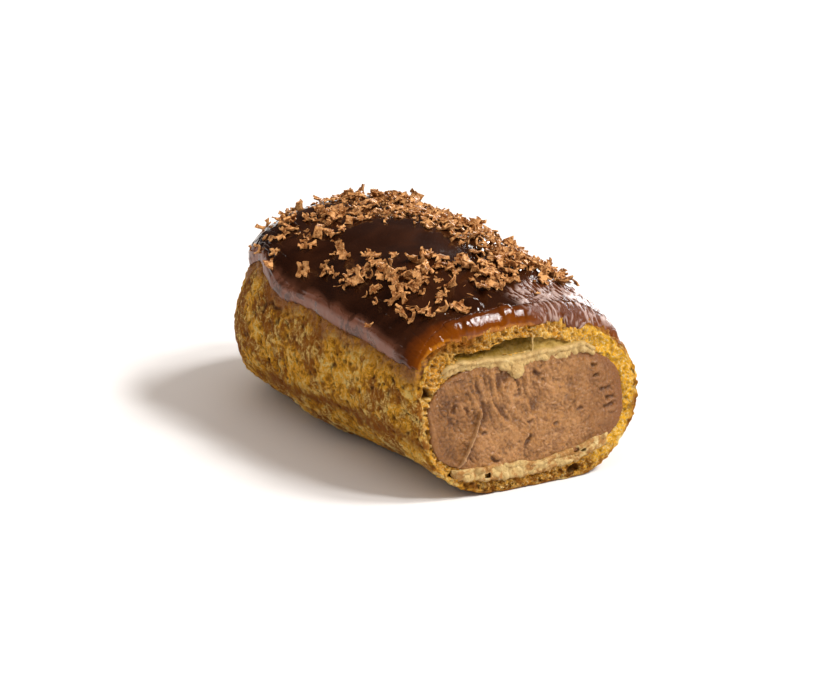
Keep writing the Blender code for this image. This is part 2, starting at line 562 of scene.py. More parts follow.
def crust_blank(sizes, iced):
    """The crust's smooth mesh, coarse where it is hidden and fine near the cut."""
    crust = blank_of("choux_shell", "choux_crust", sizes.facet)
    points, normals = read_points(crust), read_normals(crust)
    behind = behind_cut(points)
    deep = depth_in_crust(points) > SKIN_DEEP
    covered = (under_icing(iced, points, normals, deep) > 5.2 * MM) & (behind > 4 * MM)
    unseen = deep & (behind > np.where(points[:, 2] > 20 * MM, 12, 3) * MM)
    thin_out(crust, covered | unseen | (points[:, 2] < 0.05 * MM), share=0.05)
    modify(crust, "SMOOTH", factor=0.5, iterations=5)
    refine(crust, behind_cut(read_points(crust)) < 1.9 * MM)
    return crust


def pocket_at(points, behind, depth):
    """1 on the crust that shows inside the air pocket."""
    middle, level, half_width, half_height = POCKET
    pocket = fade(np.abs(points[:, 0] - middle), 0.9 * half_width, 1.1 * half_width)
    pocket *= fade(np.abs(points[:, 2] - level), half_height, 1.4 * half_height) * (depth > SKIN_DEEP)
    return pocket * rise(behind, 0.5 * MM, 1.3 * MM)


def crumb_at(points, depth, sizes):
    """Where the cut shows crumb, its bubbles and its caverns, and how far it lies behind the cut."""
    shifted = warped(points, 0.45 * MM, 1.1 * MM, (1.0, 3.0, 6.0))
    middling = rise(walls(shifted, 1.25 * MM, 4.4), 0.12, 0.50)
    small = rise(walls(shifted, 0.62 * MM, 9.1), 0.06, 0.45)
    cavern = fade(bubbles(shifted * np.array([0.7, 1, 1]), 3.6 * MM, 12.0), 0.16, 0.34)
    cavern *= rise(depth, 0.7 * MM, 1.5 * MM)
    hollow = 0.6 * middling + 0.4 * small
    torn = 0.30 * MM * waves(points, 0.9 * MM, 6.6) + 0.16 * MM * waves(points, 0.42 * MM, 2.6)
    right = rise(points[:, 0], 6 * MM, 13 * MM)
    top = rise(points[:, 2], 22 * MM, 27 * MM)
    bottom = fade(points[:, 2], 2 * MM, 5 * MM)
    starts = (0.65 + 0.15 * right - 0.5 * top * (1 - right) - 0.4 * bottom) * MM
    bready = 1 - fade(depth + 0.3 * MM * waves(points, 1.6 * MM, 4.0) - starts, 0.0, 0.55 * MM)
    hollow *= bready * (1 - 0.5 * right)
    cavern *= bready * (1 - 0.8 * right)
    torn *= 0.25 + 0.75 * bready * rise(depth, 1.2 * MM, 2.4 * MM)
    return bready, hollow, cavern, sizes.pore * hollow + 1.1 * MM * cavern + torn + 0.1 * MM


def push_outward(points, amount):
    """Moves each point away from the bun's middle line."""
    outward = (points - np.array([CUT_MIDDLE.x, 0, WAIST])) * np.array([1, 0, 1])
    outward /= np.linalg.norm(outward, axis=1)[:, None]
    points += outward * amount[:, None]


def slump(points, behind, depth):
    """Lets the roof of the pocket hang at the cut, and the left flank bulge."""
    x, y, z = points.T
    lip = fade(behind, 1.2 * MM, 4.0 * MM) * (depth > SKIN_DEEP) * fade(np.abs(x), 9 * MM, 14 * MM)
    over = rise(z, 0.71 * CRUST_HIGH.z, 0.73 * CRUST_HIGH.z)
    drop = 0.8 + 0.7 * fade(x, -8 * MM, -3 * MM)
    z -= MM * lip * (over * drop + 0.9 * (1 - over))
    belly = fade(x, -12 * MM, 0.0) * rise(y, 8 * MM, 24 * MM)
    belly *= fade(np.abs(z - 11 * MM), 4 * MM, 11 * MM)
    x -= 0.6 * MM * belly
    y += 0.6 * MM * belly
    np.maximum(z, 0.0, out=z)


def soaked_at(points, behind, depth, bready):
    """Where the icing's syrup has soaked the crust and the crumb, just behind the cut."""
    near_top = rise(points[:, 2], 0.66 * CRUST_HIGH.z, 0.76 * CRUST_HIGH.z)
    soak = 1.2 * MM + 1.2 * MM * fade(points[:, 0], -11 * MM, -5 * MM)
    soaked = fade(depth + 0.5 * MM * waves(points, 1.6 * MM, 18.0), 0.7 * MM + soak, 1.6 * MM + soak)
    soaked *= 0.18 + 0.4 * fade(points[:, 0], -11 * MM, -6 * MM)
    front = fade(behind + 0.7 * MM * waves(points, 2.4 * MM, 5.5), 2.6 * MM, 5.0 * MM)
    return near_top * front * np.maximum(1 - bready, soaked)


def shape_crust(sizes):
    """The crust: blistered skin, open crumb at the cut, and the paint that its material reads."""
    iced = tree_of(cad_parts["chocolate_icing"])
    crust = crust_blank(sizes, iced)
    points, normals = read_points(crust), read_normals(crust)
    behind = behind_cut(points)
    depth = depth_in_crust(points)
    normal = np.array(CUT_NORMAL)
    skin = fade(depth, 0.5 * MM, SKIN_DEEP)
    cut_face = fade(behind, 0.30 * MM, 0.85 * MM) * rise(normals @ normal, 0.35, 0.70)
    pocket = pocket_at(points, behind, depth)

    height, crisp, streaky = crust_relief(points, sizes)
    tray = fade(points[:, 2], 0.5 * MM, 2.2 * MM)
    outside = distance_to(iced, points, 6 * MM) - under_icing(iced, points, normals, depth > SKIN_DEEP)
    outside += drawn_up(points)
    smooth = fade(outside, -2.5 * MM, -1.0 * MM)
    lift = height * skin * (1 - cut_face) * (1 - 0.8 * smooth) * (1 - 0.8 * tray)
    lift += (0.40 * waves(points, 2.2 * MM, 8.0) - 0.8 * (normals[:, 2] > 0.3)) * MM * pocket
    bready, hollow, cavern, sunk = crumb_at(points, depth, sizes)
    sideways = 0.35 * MM * waves(points, 1.1 * MM, 15.0) * fade(behind, 0.3 * MM, 1.2 * MM)
    back, inward = round_off(np.maximum(behind, 0), depth, edge_radius(points))
    points += normals * lift[:, None]
    points -= normal * (cut_face * sunk + back)[:, None]
    push_outward(points, (sideways - inward) * (1 - tray))
    slump(points, behind, depth)
    move_points(crust, points)

    band_up = BAND_UP - 0.05 * (points[:, 1] + 0.01) + 1.2 * MM * waves(points, 6 * MM, 3.6)
    film = fade(outside + 2.0 * MM * waves(points, 3.5 * MM, 2.8), 0.2 * MM, 3.6 * MM)
    paint(
        crust,
        height=crisp / HEIGHT_UNIT,
        streaky=streaky,
        inside=bready,
        hollow=hollow * cut_face,
        cavern=cavern * cut_face,
        pocket=pocket,
        band=bell(points[:, 2] - band_up, 1.5 * MM) * fade(points[:, 1], 0.012, 0.024),
        glazed=film * skin * (1 - cut_face),
        amber=soaked_at(points, behind, depth, bready),
    )
    crust.data.shade_smooth()
    return crust


def skin_colour(tree, place, up, golden, browned, pale):
    """Golden skin: browned in patches and along its band, pale on streaks, with a painted highlight on ridges
    and painted shade in creases.
    """
    grain = partial(noise_in, tree, place)
    height = painted(tree, "height")
    patches = grain(7 * MM, 4.0, 0.65, 0.6)
    mottle = grain(2.4 * MM, 6.0, 0.75, 0.6)
    leaning = stretched(tree, place, (1.0, 0.45, 0.45), (math.radians(-38), 0.0, 0.0))
    fibre = noise_in(tree, leaning, 0.55 * MM, 5.0, 0.75, 1.0)
    return layered(
        tree, golden,
        (RUSSET, (patches, 0.46, 0.55)),
        (browned, (mottle, 0.49, 0.62, 0.0, 0.78)),
        (pale, (mottle, 0.54, 0.42), (fibre, 0.44, 0.56), 0.9),
        # pale on raised blisters: a painted highlight
        (pale, (height, 0.15, 0.8), (fibre, 0.40, 0.56, 0.2, 0.90)),
        (STRAW, (painted(tree, "streaky"), 0.36, 0.80), (mottle, 0.62, 0.42), 0.8),
        (SCORCHED, (grain(0.50 * MM, 5.0, 0.8), 0.45, 0.35, 0.0, 0.60)),
        (BAND_COLOUR, painted(tree, "band"), (mottle, 0.30, 0.52, 0.4, 0.92)),
        (HEM_COLOUR, (up, 2.4 * MM, 0.4 * MM), (mottle, 0.3, 0.6, 0.35, 0.9)),
        # painted shade in the creases
        (CREASE_SHADE, (height, -0.20, -0.85, 0.0, 0.90)),
        (FILM_COLOUR, painted(tree, "glazed"), (mottle, 0.60, 0.45, 0.05, 0.95)),
    )


def crumb_colour(tree, place, sides, crumb, browned):
    """Crumb: straw on the left, brown below, orange on the right where it is thin and made bright there as a
    painted glow of light shining through it, with painted glints, and painted shade in its bubbles, its
    caverns and the pocket.
    """
    grain = partial(noise_in, tree, place)
    mottle = grain(1.3 * MM, 5.0, 0.7)
    speck = grain(0.40 * MM, 4.0, 0.75)
    left = spread(tree, sides["X"], 4 * MM, 13 * MM, 1.0, 0.30)
    # painted shade inside the pocket
    pocket_shade = layered(tree, POCKET_SHADE_LEFT, (POCKET_SHADE_RIGHT, (sides["X"], 2 * MM, 9 * MM)))
    return layered(
        tree, crumb,
        (ORANGE_CRUMB_GLOW, (sides["X"], 4 * MM, 17 * MM)),
        (TONED_CRUMB, (grain(3.4 * MM, 3.0, 0.6, 0.5), 0.42, 0.60), left),
        (MOTTLED_CRUMB, (mottle, 0.47, 0.68, 0.0, 0.8), left),
        (CRUMB_GLINT, (speck, 0.50, 0.62, 0.0, 0.95)),
        (browned, (sides["Z"], 5 * MM, 2 * MM), (mottle, 0.58, 0.42, 0.1, 0.95)),
        # painted shade in the bubbles and caverns
        (HOLLOW_SHADE, painted(tree, "hollow"), (speck, 0.62, 0.42, 0.55, 1.0), 0.92),
        (CAVERN_SHADE, painted(tree, "cavern")),
        (pocket_shade, painted(tree, "pocket")),
    )


def crust_material(sizes):
    """Choux: golden skin, crumb where the cut shows it, and syrup where the icing has soaked in."""
    made, tree, shader, place = new_material("baked_choux", 0.6, 0.08)
    grain = partial(noise_in, tree, place)
    sides = sides_of(tree, place)
    golden, browned = tuple(sizes.golden), tuple(sizes.browned)
    pale, crumb = tuple(sizes.pale), tuple(sizes.crumb)
    amber = painted(tree, "amber")
    syrup = layered(tree, SYRUP_COLOUR, (SYRUP_LIGHT, (grain(1.6 * MM, 4.0, 0.6), 0.4, 0.65)))
    colour = layered(
        tree, skin_colour(tree, place, sides["Z"], golden, browned, pale),
        (crumb_colour(tree, place, sides, crumb, browned), painted(tree, "inside")),
        (syrup, (amber, 0.05, 0.65)),
    )
    fine = grain(0.45 * MM, 4.0, 0.7)
    wet = maths(tree, "MAXIMUM", spread(tree, amber, 0.05, 0.5), painted(tree, "glazed"))
    gloss = maths(tree, "SUBTRACT", spread(tree, fine, 0.3, 0.7, 0.72, 0.5), product(tree, wet, 0.30))
    coarse = bump(tree, grain(1.1 * MM, 6.0, 0.8), 0.75 * MM)
    join_up(tree, shader, colour, gloss, bump(tree, fine, 0.36 * MM, 1.0, coarse))
    return made


class ECLAIR_OT_crust(bpy.types.Operator):
    """Blister the choux crust and open its crumb at the cut"""

    bl_idname = "eclair.crust"
    bl_label = "Crust"

    def execute(self, context):
        sizes = context.scene.eclair_crust
        dress(shape_crust(sizes), crust_material(sizes), "choux", "choux_shell")
        return {"FINISHED"}


# ---------------------------------------------------------------- cream


class CreamSizes(bpy.types.PropertyGroup):
    facet: length_setting("Facet", "Edge of the cream's faces away from the cut", 0.30)
    smear: length_setting("Smear", "Height of the ridges that the knife drew", 0.46)
    proud: length_setting("Proud", "How far the cream bulges out of the cut", 0.35)
    body: colour_setting("Cream", "Colour of the cream", (0.345, 0.158, 0.047))
    # Shade is painted shade: it darkens the furrows of the smear and the dips of the hair strokes and specks.
    shade: colour_setting("Dark cream", "Colour in the furrows of the smear", (0.105, 0.038, 0.009))


# Where the knife pulled the cream out of its round: angle from +X in degrees, and the share of the
# solid's reach that the cream has there.
CREAM_OUTLINE = (
    (-180, 1.03), (-150, 1.03), (-110, 1.02), (-90, 1.00), (-60, 1.01), (-30, 1.02), (0, 1.04),
    (30, 1.04), (60, 1.05), (75, 1.06), (95, 0.98), (105, 0.93), (118, 1.01), (135, 1.05), (160, 1.04),
    (180, 1.03),
)
# The sharp ridge where two strokes of the knife met: its ends on the cut.
RIDGE_TOP = (-0.0098, 0.0146)
RIDGE_FOOT = (-0.0154, 0.0048)
STROKE_CENTRE = (0.0080, 0.0205)  # the knife turned about here, so the smear follows rings round it
PULLED_SPOT = (-0.0055, 0.0180)  # the knife pulled the cream hardest about here
# Nicks in the cream: across and up, in millimetres, half length, lean in degrees, and depth.
NICKS = (
    (15.0, 14.7, 1.5, 6, 1.0), (15.8, 12.9, 1.3, 3, 0.8), (15.6, 11.6, 1.6, 8, 1.0),
    (16.0, 10.1, 1.1, 5, 0.8), (13.3, 17.1, 0.9, 20, 0.9), (13.0, 19.0, 0.8, -10, 0.9),
    (-1.1, 8.1, 1.7, 52, 1.1), (-9.5, 10.8, 0.7, 10, 0.9), (-15.0, 15.8, 1.0, 75, 0.9),
    (-12.6, 15.2, 0.9, 100, 0.8), (1.6, 19.4, 1.0, -35, 0.9), (-0.4, 11.4, 0.9, 15, 0.7),
    (4.6, 10.2, 0.8, 35, 0.7), (9.6, 12.0, 0.8, 30, 0.6), (-7.6, 5.9, 1.3, -25, 0.8),
)

CLOUD_CREAM = (0.450, 0.222, 0.080)
SMUDGE_CREAM = (0.190, 0.076, 0.018)
LEFT_CREAM = (0.205, 0.080, 0.017)
RIGHT_CREAM = (0.240, 0.097, 0.026)
# Painted highlights on the raised smears, the hair strokes and the knife's ridge.
RAISED_CREAM_HIGHLIGHT = (0.50, 0.275, 0.120)
HAIR_HIGHLIGHT = (0.56, 0.32, 0.145)
RIDGE_HIGHLIGHT = (0.62, 0.37, 0.185)
RIM_CREAM = (0.215, 0.083, 0.025)


def nicked(across, up, place):
    """How deep the nicks cut, with a soft lip on the upper side of each."""
    depth = np.zeros(len(across))
    wander = 0.30 * MM * waves(place, 0.9 * MM, 23.0)
    for x, z, half, lean, deep in NICKS:
        turn = math.radians(lean)
        along = (across - x * MM) * math.cos(turn) + (up - z * MM) * math.sin(turn)
        side = (up - z * MM) * math.cos(turn) - (across - x * MM) * math.sin(turn) + wander
        inside = fade(np.abs(along), 0.4 * half * MM, half * MM)
        depth += 0.75 * inside * deep * (bell(side, 0.34 * MM) - 0.4 * bell(side - 0.62 * MM, 0.32 * MM))
    return depth


def strokes_of(across, up):
    """Places on the cut as rings round the turn of the knife, and as a run along those rings."""
    place = on_sheet(across, up)
    drift = 0.7 * MM * waves(place, 3.5 * MM, 50.0)
    ring = np.hypot(across - STROKE_CENTRE[0], 1.1 * (up - STROKE_CENTRE[1])) + drift
    return ring, 0.012 * np.arctan2(up - STROKE_CENTRE[1], across - STROKE_CENTRE[0])


def ridge_relief(across, up, place):
    """Height of the sharp ridge, and of the furrow beside it."""
    top, foot = np.array(RIDGE_TOP), np.array(RIDGE_FOOT)
    along = foot - top
    share = ((across - top[0]) * along[0] + (up - top[1]) * along[1]) / (along @ along)
    side = ((across - top[0]) * along[1] - (up - top[1]) * along[0]) / np.linalg.norm(along)
    side += 0.35 * MM * np.sin(np.clip(share, 0, 1) * math.pi) + 0.08 * MM * waves(place, 1.5 * MM, 3.0)
    length = fade(np.abs(share - 0.5), 0.44, 0.56)
    return length * (2.2 * bell(side, 0.24 * MM) - 0.5 * bell(side + 0.55 * MM, 0.30 * MM))


def cream_relief(across, up):
    """Height of the smear at places on the cut."""
    place = on_sheet(across, up)
    ring, run = strokes_of(across, up)
    strokes = waves(on_sheet(ring / 2.3, run / 7), MM, 2.5)
    combed = puffs(on_sheet(ring / 1.15, run / 4.5), MM, 14.2) - 0.3
    hairs = waves(on_sheet(ring / 0.42, run / 1.6), MM, 31.4)
    lumps = waves(place, 3.0 * MM, 40.0)
    crumbled = puffs(place, 0.95 * MM, 17.0) - 0.28
    grain = waves(place, 0.42 * MM, 27.0)
    pulled = fade(np.hypot((across - PULLED_SPOT[0]) / 1.2, up - PULLED_SPOT[1]), 0.0035, 0.0085)
    left = fade(across, -0.0125, -0.0075)
    height = 0.75 * strokes * (0.4 + 0.6 * pulled) + (0.30 + 1.2 * pulled) * combed + 0.14 * hairs
    height += 0.55 * lumps + (0.55 + 0.4 * left) * crumbled + 0.24 * grain
    height += ridge_relief(across, up, place)
    pocks = fade(bubbles(place, 2.4 * MM, 6.0), 0.06, 0.16)
    return height - 1.3 * nicked(across, up, place) - 0.45 * pocks


def cream_material(sizes):
    """Milk chocolate cream, drawn out along the strokes of the knife and wet in places, with painted shade in
    its furrows and dips and painted highlights on its raised smears, hair strokes and ridge.
    """
    made, tree, shader, place = new_material("milk_chocolate_cream", 0.42, 0.38)
    grain = partial(noise_in, tree, place)
    shade = tuple(sizes.shade)
    smear = painted(tree, "smear")
    across = sides_of(tree, place)["X"]
    drawn = put(tree, "ShaderNodeCombineXYZ", {
        "X": painted(tree, "ring"),
        "Y": product(tree, painted(tree, "run"), 0.30),
        "Z": product(tree, across, 0.15),
    }).outputs["Vector"]
    hairs = noise_in(tree, drawn, 0.42 * MM, 5.0, 0.75, 0.5)
    speck = grain(0.38 * MM, 4.0, 0.75)
    colour = layered(
        tree, tuple(sizes.body),
        (CLOUD_CREAM, (grain(2.6 * MM, 5.0, 0.65, 0.3), 0.38, 0.64)),
        (SMUDGE_CREAM, (grain(1.3 * MM, 3.0, 0.6, 0.6), 0.50, 0.66, 0.0, 0.75)),
        (LEFT_CREAM, (across, -7 * MM, -15 * MM, 0.0, 0.55)),
        (RIGHT_CREAM, (across, 5 * MM, 16 * MM, 0.0, 0.85)),
        # painted shade in the dips of the hair strokes, the specks and the smear's furrows
        (shade, (hairs, 0.46, 0.32, 0.0, 0.40)),
        (shade, (speck, 0.42, 0.30, 0.0, 0.5)),
        (shade, (smear, 0.05, -0.85, 0.0, 0.95)),
        # painted highlights on the raised smear, the hair strokes and the ridge
        (RAISED_CREAM_HIGHLIGHT, (smear, 0.25, 1.1, 0.0, 0.70)),
        (HAIR_HIGHLIGHT, (hairs, 0.56, 0.68, 0.0, 0.45)),
        (RIDGE_HIGHLIGHT, (smear, 1.3, 2.1, 0.0, 0.8)),
        (RIM_CREAM, painted(tree, "rim")),
    )
    gloss = spread(tree, grain(1.0 * MM, 5.0, 0.7), 0.44, 0.60, 0.06, 0.42)
    torn = bump(tree, grain(0.9 * MM, 5.0, 0.8), 0.22 * MM)
    rough_face = bump(tree, speck, 0.10 * MM, 1.0, bump(tree, hairs, 0.12 * MM, 1.0, torn))
    shader.inputs["Subsurface Weight"].default_value = 0.10
    shader.inputs["Subsurface Radius"].default_value = (1.0, 0.5, 0.25)
    shader.inputs["Subsurface Scale"].default_value = 0.5 * MM
    join_up(tree, shader, colour, gloss, rough_face)
    return made


def cream_reach(angle, behind):
    """Share of the solid's reach that the cream has at this angle. It wavers near the cut alone."""
    angles, shares = zip(*CREAM_OUTLINE)
    reach = np.interp(angle, angles, shares)
    reach += 0.014 * waves(on_sheet(angle / 14, angle * 0), 1.0, 5.0)
    reach += 0.011 * waves(on_sheet(angle / 5, angle * 0), 1.0, 9.0)
    return 1 + (reach - 1) * fade(behind, 4 * MM, 12 * MM)


def shape_cream(sizes):
    """The cream, pulled out of its round and smeared at the cut."""
    cream = blank_of("cream_filling", "cream_body", sizes.facet)
    thin_out(cream, behind_cut(read_points(cream)) > 1.8 * MM, share=0.05)
    modify(cream, "SMOOTH", factor=0.5, iterations=3)
    refine(cream, behind_cut(read_points(cream)) < 1.2 * MM)
    points = read_points(cream)
    behind = behind_cut(points)
    middle_up = (CREAM_LOW.z + CREAM_HIGH.z) / 2
    across, up = points[:, 0] - CUT_MIDDLE.x, points[:, 2] - middle_up
    reach = cream_reach(np.degrees(np.arctan2(up, across)), behind)
    points[:, 0] = CUT_MIDDLE.x + across * reach
    points[:, 2] = middle_up + up * reach
    wide, tall = CREAM_HIGH.x - CUT_MIDDLE.x, CREAM_HIGH.z - middle_up
    edge = ((np.abs(across) / wide) ** 3 + (np.abs(up) / tall) ** 3) ** (1 / 3)
    smear = cream_relief(points[:, 0], points[:, 2])
    ring, run = strokes_of(points[:, 0], points[:, 2])
    crown = sizes.proud * fade(edge, 0.72, 1.0)
    calm = 1 - 0.6 * rise(edge, 0.90, 0.97)
    front = fade(behind, 0.3 * MM, 1.0 * MM)
    points += np.array(CUT_NORMAL) * (front * (sizes.smear * smear * calm + crown))[:, None]
    move_points(cream, points)
    rim = rise(edge, 0.86, 0.97) * (0.25 + 0.65 * rise(across, 0.0, 0.013))
    paint(cream, smear=smear, ring=ring, run=run, rim=rim)
    cream.data.shade_smooth()
    return cream


class ECLAIR_OT_cream(bpy.types.Operator):
    """Smear the cream across the cut"""

    bl_idname = "eclair.cream"
    bl_label = "Cream"

    def execute(self, context):
        sizes = context.scene.eclair_cream
        dress(shape_cream(sizes), cream_material(sizes), "cream", "cream_filling")
        return {"FINISHED"}


# ---------------------------------------------------------------- inner skins


class SkinSizes(bpy.types.PropertyGroup):
    thick: length_setting("Thickness", "Thickness of the pale inner skins", 0.28)
    pale: colour_setting("Pale skin", "Colour of the inner skins", (0.56, 0.385, 0.150))
    # Deep is painted shade in the creases of the skins' fibrous relief.
    deep: colour_setting("Deep skin", "Colour of their creases", (0.21, 0.105, 0.022))


# Each skin is a ribbon over the cut: across, lower edge, upper edge, how far up its inner part climbs,
# and how far back, all in millimetres.
WEB = (
    (-16.4, 20.9, 22.2, 22.4, 0.6), (-15.2, 21.2, 22.9, 23.6, 1.0), (-13.4, 22.0, 23.1, 24.8, 1.6),
    (-10.4, 22.1, 23.1, 26.2, 2.3), (-7.4, 21.7, 22.9, 26.8, 2.7), (-5.4, 21.4, 22.8, 27.0, 2.9),
    (-4.2, 20.4, 22.7, 27.0, 2.9), (-2.6, 19.9, 22.6, 27.0, 2.9), (-1.4, 20.2, 22.6, 27.0, 2.8),
    (-0.4, 21.4, 22.6, 26.9, 2.7), (1.6, 21.5, 22.7, 26.8, 2.4), (3.0, 21.2, 22.8, 26.4, 1.8),
    (6.0, 21.2, 22.8, 26.0, 1.5), (9.0, 21.4, 22.9, 25.6, 1.4), (11.6, 21.5, 22.8, 24.8, 1.1),
    (13.8, 20.8, 21.8, 23.0, 0.7),
)
FLOOR_SKIN = (
    (-16.0, 3.8, 5.2, 5.3, 0.3), (-13.0, 2.9, 5.0, 5.3, 0.4), (-8.0, 2.2, 4.9, 5.2, 0.4),
    (-3.0, 2.0, 4.6, 4.9, 0.4), (1.0, 2.1, 4.0, 4.4, 0.4), (5.0, 2.4, 4.6, 5.0, 0.4),
    (8.5, 2.9, 5.3, 5.6, 0.4), (11.5, 3.7, 6.0, 6.3, 0.4), (13.8, 4.6, 6.4, 6.6, 0.4),
    (15.2, 5.8, 6.8, 6.9, 0.3),
)
RIBBON_COLUMNS = 190
RIBBON_ROWS = 44
FOLD_SHARE = 0.5  # of a skin's width that faces out of the cut; the rest turns inwards

STAIN_COLOUR = (0.37, 0.175, 0.042)  # cream smeared on a skin
SKIN_SPECK = (0.25, 0.12, 0.025)
SKIN_THREAD = (0.80, 0.64, 0.34)
OLIVE_LEFT = (0.205, 0.115, 0.008)  # a skin inside the pocket, in its shade
OLIVE_RIGHT = (0.38, 0.240, 0.046)


def skin_material(sizes):
    """Pale skin with stains and painted shade in its creases, olive where it hangs in the shade of the
    pocket.
    """
    made, tree, shader, place = new_material("pale_inner_skin", 0.45, 0.25)
    grain = partial(noise_in, tree, place)
    strands = stretched(tree, place, (1.0, 1.0, 0.45), (0.0, math.radians(25), 0.0))
    fibre = noise_in(tree, strands, 0.7 * MM, 5.0, 0.7, 0.6)
    speck = grain(0.32 * MM, 4.0, 0.75)
    across = sides_of(tree, place)["X"]
    colour = layered(
        tree, tuple(sizes.pale),
        # painted shade in the creases
        (tuple(sizes.deep), (fibre, 0.46, 0.28, 0.0, 0.8)),
        (STAIN_COLOUR, painted(tree, "stained"), (grain(1.9 * MM, 5.0, 0.65), 0.44, 0.56)),
        (SKIN_SPECK, (speck, 0.42, 0.30, 0.0, 0.7)),
        (SKIN_THREAD, (fibre, 0.56, 0.70, 0.0, 0.7)),
        (layered(tree, OLIVE_LEFT, (OLIVE_RIGHT, (across, 0.5 * MM, 3.5 * MM))), painted(tree, "shaded")),
    )
    gloss = spread(tree, fibre, 0.3, 0.7, 0.55, 0.3)
    join_up(tree, shader, colour, gloss, bump(tree, fibre, 0.2 * MM, 0.8, bump(tree, speck, 0.13 * MM, 0.9)))
    return made


def ribbon(name, edges, thick, proud, seed, stain, torn, shaded):
    """A torn skin over the cut, between two edges. Above its upper edge it turns inwards and climbs.

    It stands proud of the cut by so much. Stain, torn and shaded are how far it is so, from 0 to 1.
    """
    across_at, low_at, high_at, roof_at, back_at = columns_of(edges)
    bpy.ops.mesh.primitive_grid_add(x_subdivisions=RIBBON_COLUMNS, y_subdivisions=RIBBON_ROWS, size=2)
    skin = name_new(name)
    grid = read_points(skin)
    share_x, share = (grid[:, 0] + 1) / 2, (grid[:, 1] + 1) / 2
    across = across_at[0] + share_x * (across_at[-1] - across_at[0])
    line = on_sheet(across, across * 0)
    ragged = 0.45 * MM * waves(line, 1.3 * MM, seed) + 0.25 * MM * waves(line, 0.5 * MM, seed + 2)
    low = np.interp(across, across_at, low_at) + ragged
    high = np.interp(across, across_at, high_at) + 0.5 * MM * waves(line, 1.9 * MM, seed + 5)
    face = np.clip(share / FOLD_SHARE, 0, 1)
    turn = np.clip((share - FOLD_SHARE) / (1 - FOLD_SHARE), 0, 1) * math.pi / 2
    up = low + face * (high - low) + (np.interp(across, across_at, roof_at) - high) * (1 - np.cos(turn))
    back = np.interp(across, across_at, back_at) * np.sin(turn)
    flat = on_sheet(across, up + back)
    relief = 0.45 * MM * waves(flat, 2.2 * MM, seed) + 0.35 * MM * (puffs(flat, 1.3 * MM, seed) - 0.3)
    relief += 0.20 * MM * waves(flat, 0.6 * MM, seed + 1) + 0.10 * MM * waves(flat, 0.3 * MM, seed + 4)
    lip = 0.35 * MM * bell(share - FOLD_SHARE, 0.10)
    sink = 0.6 * MM * fade(share, 0.0, 0.10) + 0.7 * MM * fade(1 - np.abs(2 * share_x - 1), 0.0, 0.06)
    move_points(skin, on_cut(across, up, proud + relief + lip - back - sink))
    stained = np.full(len(across), stain) * fade(share, FOLD_SHARE, 1.2 * FOLD_SHARE)
    paint(skin, shaded=rise(share, 0.52, 0.68) * shaded, stained=stained)
    holes = (bubbles(flat * np.array([0.6, 1, 1]), 1.9 * MM, seed) < torn) & (share > 0.12)
    delete_faces(skin, ~faces_among(skin, ~holes))
    modify(skin, "SOLIDIFY", thickness=thick, offset=1.0)
    skin.data.shade_smooth()
    return skin


def shape_strand():
    """The thin thread of dough that still bridges the pocket."""
    bpy.ops.mesh.primitive_cylinder_add(vertices=8, radius=1, depth=2)
    strand = name_new("pocket_strand")
    edit_all(strand, bpy.ops.mesh.bisect, plane_co=(0, 0, 0), plane_no=(0, 0, 1))
    modify(strand, "SUBSURF", levels=2, render_levels=2, subdivision_type="SIMPLE")
    points = read_points(strand)
    share = (points[:, 2] + 1) / 2
    width = MM * (0.13 + 0.34 * (2 * share - 1) ** 4)
    across = 0.9 * MM + 1.2 * MM * share + 0.22 * MM * np.sin(5 * share) + points[:, 0] * width
    up = 22.4 * MM + 3.4 * MM * share
    proud = -0.35 * MM - 0.3 * MM * share + points[:, 1] * width
    move_points(strand, on_cut(across, up, proud))
    edit_all(strand, bpy.ops.mesh.normals_make_consistent, inside=False)
    strand.data.shade_smooth()
    return strand


def shape_lump():
    """The round lump that hangs from the web into the cream."""
    bpy.ops.mesh.primitive_ico_sphere_add(subdivisions=5, radius=1)
    lump = name_new("web_lump")
    ball = read_points(lump)
    rough = 1 + 0.20 * waves(ball, 0.7, 4.0) + 0.12 * waves(ball, 0.25, 8.0) + 0.05 * waves(ball, 0.1, 2.0)
    ball *= rough[:, None]
    across = -2.3 * MM + 1.35 * MM * ball[:, 0]
    up = 20.4 * MM + 1.20 * MM * ball[:, 2]
    move_points(lump, on_cut(across, up, 0.30 * MM - 0.6 * MM * ball[:, 1]))
    paint(lump, stained=np.full(len(across), 0.3))
    lump.data.shade_smooth()
    return lump


class ECLAIR_OT_skins(bpy.types.Operator):
    """Lay the pale inner skins, the lump and the strand over the cut"""

    bl_idname = "eclair.skins"
    bl_label = "Inner skins"

    def execute(self, context):
        sizes = context.scene.eclair_skins
        finish = skin_material(sizes)
        web = ribbon(
            "inner_web", WEB, sizes.thick,
            proud=0.05 * MM, seed=3.7, stain=0.25, torn=0.04, shaded=1.0,
        )
        floor_skin = ribbon(
            "floor_skin", FLOOR_SKIN, sizes.thick,
            proud=-0.15 * MM, seed=12.9, stain=1.0, torn=0.20, shaded=0.0,
        )
        for piece in (web, floor_skin, shape_strand(), shape_lump()):
            dress(piece, finish, "choux")
        return {"FINISHED"}


# ---------------------------------------------------------------- icing


class IcingSizes(bpy.types.PropertyGroup):
    facet: length_setting("Facet", "Edge of the icing's faces", 0.36)
    swell: length_setting("Swell", "Height of its slow waves", 0.16)
    rim: length_setting("Rim", "How far its rolled rim stands out", 0.30)
    wrinkle: length_setting("Wrinkle", "Height of the wrinkles near the cut", 0.28)
    dark: colour_setting("Icing", "Colour of the thick icing", (0.019, 0.0048, 0.0015))
    amber: colour_setting("Thin icing", "Colour where it thins out over the crust", (0.165, 0.038, 0.0012))


